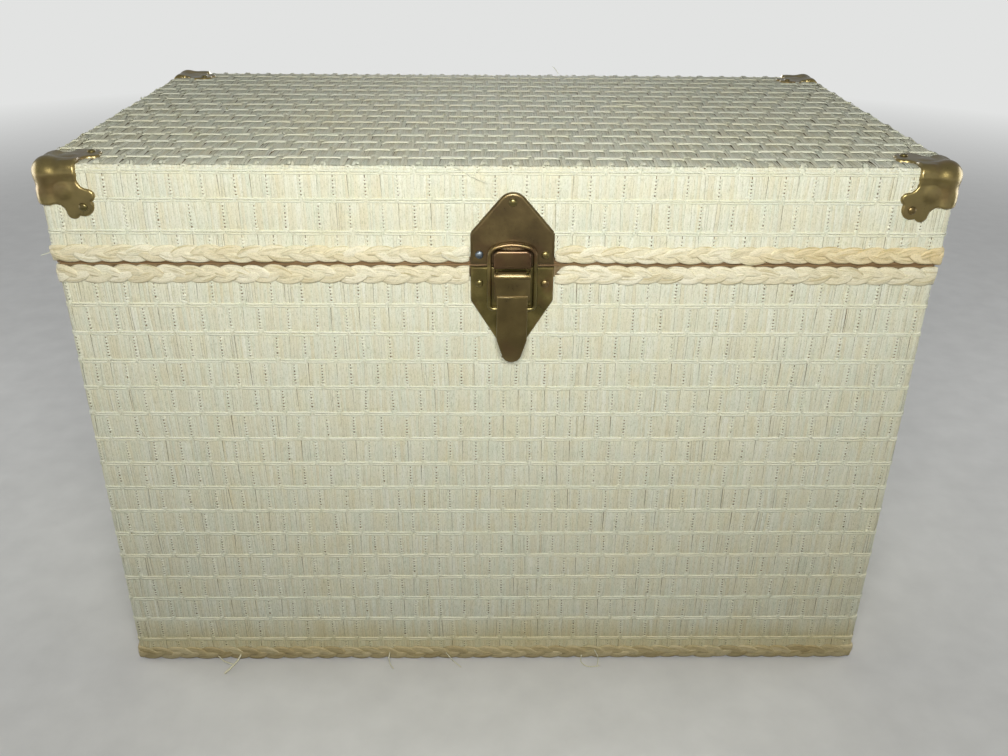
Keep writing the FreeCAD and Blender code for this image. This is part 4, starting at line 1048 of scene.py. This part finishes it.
def softened(name, body, material, width, lower=0.0):
    """A brass piece of the frame with its sharp edges rounded, and its foot reaching lower."""
    build = bmesh.new()
    build.from_mesh(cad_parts[name].data)
    bmesh.ops.remove_doubles(build, verts=build.verts, dist=0.01 * MM)
    bmesh.ops.dissolve_limit(build, angle_limit=math.radians(1), verts=build.verts, edges=build.edges)
    foot = min(vertex.co.z for vertex in build.verts)
    for vertex in build.verts:
        if vertex.co.z < foot + 0.5 * MM:
            vertex.co.z -= lower * MM
    mesh = bpy.data.meshes.new(name)
    build.to_mesh(mesh)
    build.free()
    mesh.materials.append(material)
    mesh.polygons.foreach_set("use_smooth", [True] * len(mesh.polygons))
    piece = linked(name + "_softened", mesh)
    bevel = piece.modifiers.new("edges", "BEVEL")
    bevel.width = width * MM
    bevel.segments = 3
    bevel.limit_method = "ANGLE"
    bevel.angle_limit = math.radians(40)
    bevel.harden_normals = True
    bpy.context.view_layer.objects.active = piece
    bpy.ops.object.modifier_apply(modifier=bevel.name)
    hand_over(piece, body, name)


# Nails: shares of the head's radius and rise, from its rim up to its top
NAIL_RINGS = ((0.4, 0.0), (1.0, 0.0), (0.97, 0.3), (0.86, 0.58), (0.66, 0.8), (0.38, 0.95), (0.0, 1.0))
NAIL_SIDES, NAIL_LEAN, NAIL_DENT = 18, 0.05, 0.02
SHANK_LONG, SHANK_RADIUS = 3.0, 1.1


def nail_places(node):
    """Head centre, direction, radius and rise of each nail in a group of the frame."""
    mesh, points = corners(node)
    spots = np.unique(np.round(points, 3), axis=0, return_inverse=True)[1].ravel()
    edges = spots[[edge.vertices[:] for edge in mesh.edges]]
    nail = np.arange(len(points))
    before = None
    while not np.array_equal(nail, before):
        before = nail.copy()
        np.minimum.at(nail, edges, nail[edges].min(axis=1)[:, None])
    owner = nail[spots]
    found = []
    for own in dict.fromkeys(owner):
        group = points[owner == own]
        low, high = group.min(0), group.max(0)
        axis = int(np.argmax(high - low))
        head = (low + high) / 2
        away = np.linalg.norm(np.delete(group - head, axis, axis=1), axis=1)
        wide = group[away > away.max() * 0.97][:, axis].mean()
        way = 1 if wide > head[axis] else -1
        tip = high[axis] if way > 0 else low[axis]
        direction = np.zeros(3)
        direction[axis] = way
        head[axis] = wide
        found.append((head, direction, away.max(), abs(tip - wide)))
    return found


def nails(node, body, material):
    """Smooth domed heads with a little hammering, each on its shank."""
    turns = np.linspace(0, math.tau, NAIL_SIDES, endpoint=False)[:, None]
    across, up = np.array(NAIL_RINGS).T[:, :, None, None]
    grids = []
    for head, direction, radius, rise in nail_places(node):
        u = np.cross((0, 0, 1) if abs(direction[2]) < 0.5 else (1, 0, 0), direction)
        away = u * np.cos(turns) + np.cross(direction, u) * np.sin(turns)
        lean = rng.normal(0, NAIL_LEAN, 2)
        reach = radius * across * (1 + NAIL_DENT * np.sin(3 * turns + head[0]))
        tilt = (lean[0] * np.cos(turns) + lean[1] * np.sin(turns)) * across * up
        shank = head - direction * SHANK_LONG + away * SHANK_RADIUS
        grids.append([shank, *(head + away * reach + direction * (rise * up + tilt))])
    piece = grid_mesh(node + "_domed", np.array(grids), material, None, wrap_columns=True)
    hand_over(piece, body, node)


def finish_frame_parts(brass, steel_finish, grain):
    """Materials on the pieces that stay as they are in the frame."""
    for name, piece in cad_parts.items():
        finish = steel_finish if name == "latch_steel_nail" else brass
        if name.endswith(("board", "rail", "posts", "blocks")):
            finish = grain[2 if "corner" in name else int("left" in name or "right" in name)]
        if not piece.data.materials:
            piece.data.materials.append(finish)
        for place in piece.material_slots:
            place.link = "OBJECT"
            place.material = finish


# The body that each loose straw rides on, its half width and its path
WISPS = [
    ("box", 0.95, [(-217, -174.5, 6), (-219, -179, 3), (-224, -187, 1.2), (-228, -193, 1.0)]),
    ("box", 0.6, [(-237, -174.5, 4), (-231, -179, 1.5), (-222, -182, 0.7)]),
    ("box", 0.5, [(-91, -175, 9), (-92, -180, 5), (-90, -184, 1), (-87, -187, 0.4)]),
    ("box", 0.4, [(-44, -175, 8), (-38, -181, 4), (-30, -186, 0.6)]),
    ("box", 0.45, [(72, -175, 5), (70, -181, 2), (76, -186, 0.5), (88, -184, 0.4)]),
    ("box", 0.4, [(82, -175, 11), (86, -180, 5), (84, -186, 0.5)]),
    ("box", 0.32, [(-189, -174, 41), (-192, -176, 36), (-190, -177, 30)]),
    ("box", 0.32, [(214, -174, 62), (219, -176, 57), (226, -175.6, 55)]),
    ("box", 0.32, [(-268, -174, 228), (-263, -176, 222), (-262, -176, 214)]),
    ("lid", 0.32, [(-34, -172, 424.6), (-28, -174.6, 423), (-18, -175.6, 417), (-8, -175.8, 413)]),
    ("lid", 0.32, [(-166, -62, 424.6), (-158, -74, 426.6), (-150, -88, 425.4)]),
    ("lid", 0.32, [(96, 24, 424.6), (108, 18, 426.8), (122, 20, 425.2)]),
    ("lid", 0.32, [(60, 171, 424.5), (58, 173, 428.5), (54, 175, 432)]),
    ("lid", 0.32, [(-302, -168, 363), (-308, -170, 362), (-314, -170, 360)]),
    ("lid", 0.32, [(271, -175, 371), (276, -178, 372), (279, -178, 376)]),
]
WISP_STEPS = 13


def wisps(material):
    """A few loose straws, each a thin bent rod that comes to a point at both ends."""
    turns = np.linspace(0, math.tau, 6, endpoint=False)[None, :, None]
    thick = np.linspace(0.8, 1.1, WISP_STEPS)[:, None, None]
    for number, (body, radius, path) in enumerate(WISPS):
        line = stretched(np.array(path, float), WISP_STEPS)
        for _ in range(3):
            line[1:-1] = (line[:-2] + 2 * line[1:-1] + line[2:]) / 4
        run = np.gradient(line, axis=0)
        run /= np.linalg.norm(run, axis=1)[:, None]
        side = np.cross(run, (0.3, 0.5, 0.81))
        side /= np.linalg.norm(side, axis=1)[:, None]
        over = np.cross(run, side)
        away = np.cos(turns) * side[:, None, :] + np.sin(turns) * over[:, None, :]
        rows = line[:, None, :] + radius * thick * away
        rows[0], rows[-1] = line[0], line[-1]
        rows[..., 2] = np.maximum(rows[..., 2], 0)
        marks = np.zeros(rows.shape)
        marks[..., 1] = rows[..., 0]
        marks[..., 2] = number / len(WISPS)
        hand_over(grid_mesh(f"loose_straw_{number}", rows[None], material, marks, wrap_columns=True),
                  body)


FLOOR_REACH, FLOOR_BELOW = 9000.0, 0.2
SURROUND = (226, 227, 226)
# name, place, what it faces, width, power and colour
LIGHTS = (("key", (0, -873, 710), (-10, -150, 780), 420, 8.3, (1.0, 0.99, 0.97)),
          ("above", (0, 420, 1050), (0, 60, 400), 900, 0.44, (0.96, 0.98, 1.0)),
          ("behind", (0, 1250, 430), (0, 173, 230), 900, 7.4, (0.97, 0.98, 1.0)),
          ("left", (-1300, 30, 430), (-305, 0, 230), 900, 5.6, (0.97, 0.98, 1.0)),
          ("right", (1300, 30, 430), (305, 0, 230), 900, 5.6, (0.97, 0.98, 1.0)))


def floor():
    """A pale floor that fades into the surround, and throws little light back at the chest."""
    shader = Shader("pale_floor", Roughness=0.8, Specular_IOR_Level=0.2)
    place = shader.place()
    pale = shader.ramp(shader.noise(place, 30.0, 4), [(0.3, (214, 214, 211)), (0.7, (222, 222, 219))])
    path = shader.add("LightPath", {}).node.outputs
    seen = shader.maths("MAXIMUM", path["Is Camera Ray"], path["Is Glossy Ray"])
    seen = shader.maths("MAXIMUM", seen, path["Is Transmission Ray"])
    shader.set(shader.surface, {"Base Color": shader.mix(seen, (50, 50, 49), pale)})
    fade = shader.spread(shader.add("VectorMath", {0: place}, "Value", operation="LENGTH"), 0.9, 2.6)
    glow = shader.add("Emission", {"Color": SURROUND, "Strength": 1.0})
    fade = shader.maths("MULTIPLY", fade, seen)
    shown = shader.add("MixShader", {0: fade, 1: shader.surface.outputs[0], 2: glow})
    shader.tree.links.new(shown, shader.last)
    square = [(-1, -1), (1, -1), (1, 1), (-1, 1)]
    points = np.array([(x * FLOOR_REACH, y * FLOOR_REACH, -FLOOR_BELOW) for x, y in square])
    poly_mesh("floor", points, [(0, 1, 2, 3)], shader.owner)


def surround():
    """A dim light from all round, shown as a pale grey and mirrored by the brass as a darker one."""
    shader = Shader("studio", "worlds", Color=(0.93, 0.96, 1.0, 1), Strength=0.045)
    bpy.context.scene.world = shader.owner
    path = shader.add("LightPath", {}).node.outputs
    direct = shader.maths("MAXIMUM", path["Is Camera Ray"], path["Is Transmission Ray"])
    shown = shader.surface.outputs[0]
    for share, colour in ((direct, SURROUND), (path["Is Glossy Ray"], (150, 152, 152))):
        shown = shader.add("MixShader", {0: share, 1: shown, 2: shader.add("Background", {"Color": colour})})
    shader.tree.links.new(shown, shader.last)


def lights():
    for name, at, aim, size, power, colour in LIGHTS:
        data = bpy.data.lights.new(name, "AREA")
        data.shape = "DISK"
        data.size = size * MM
        data.energy = power
        data.color = colour
        made = linked(name, data)
        made.location = Vector(at) * MM
        made.rotation_euler = (Vector(aim) * MM - Vector(at) * MM).to_track_quat("-Z", "Y").to_euler()
        made.visible_camera = False


# the nails by the body they ride on
BRASS_NAILS = (("latch_lower_nails", "box"), ("hinge_lower_nails", "box"), ("handle_nails", "box"),
               ("corner_cap_nails", "lid"), ("latch_upper_nails", "lid"), ("hinge_upper_nails", "lid"))
GRAIN_ALONG, GRAIN_ACROSS = 26.0, 420.0


def build():
    camera()
    floor()
    surround()
    lights()
    matting = straw("straw_matting_finish", CREAM_TONES, stain_top=30)
    lid_straw = straw("lid_matting_finish", CREAM_TONES)
    plait = straw("straw_braid_finish", BRAID_TONES, strands=1.0)
    lid_plait = straw("lid_braid_finish", BRAID_TONES, yellow=0.05, strands=1.0, aged_from=190)
    base_plait = straw("base_braid_finish", BASE_TONES_WITH_SHADE, stain_top=40, strands=0.9)
    ground = dark_ground()
    brass = aged_brass("aged_brass_finish")
    steel_finish = steel()
    grain = [bare_wood(name, tuple(GRAIN_ALONG if n == axis else GRAIN_ACROSS for n in range(3)))
             for axis, name in enumerate(("wood_along_x", "wood_along_y", "wood_upright"))]
    finish_frame_parts(brass, steel_finish, grain)
    box_wall = box_matting(matting, ground)
    lid_wall = lid_matting(lid_straw, ground)
    # the top's straw takes the darker tones that paint in shade
    top_matting(straw("top_matting_shaded_finish", TOP_SHADED_TONES), ground)
    braid("box_rim_braid", box_wall, "box", plait, plate_gaps(box_wall, "latch_lower_plate"), raise_top=0.3)
    upright = Wall(*lid_wall.half, CORNER_ROUND)
    braid("lid_braid", upright, "lid", lid_plait, plate_gaps(lid_wall, "latch_upper_plate"), -1, 1.1, 0.3)
    braid("base_braid", box_wall, "box", base_plait)
    wisps(lid_straw)
    for node, body in BRASS_NAILS:
        nails(node, body, brass)
    nails("latch_steel_nail", "lid", steel_finish)
    face = cap_face()
    cap_finish = aged_brass("cap_finish", (162, 142, 92), 0.45)
    for side in ("front_left", "front_right", "back_left", "back_right"):
        corner_cap("corner_cap_" + side, cap_finish, face)
    latch_plate("latch_upper_plate", "lid", aged_brass("plate_finish", (100, 80, 54)), 1.9)
    latch_plate("latch_lower_plate", "box", brass, 1.3)
    softened("latch_strike", "lid", aged_brass("strike_finish", (104, 74, 52)), 1.1, 1.5)
    lever_finish = aged_brass("lever_finish", (108, 90, 56))
    softened("latch_lever", "latch_lever", lever_finish, 0.6)
    lever_head("latch_lever", lever_finish)
    bpy.context.scene.view_settings.view_transform = "Standard"


build()
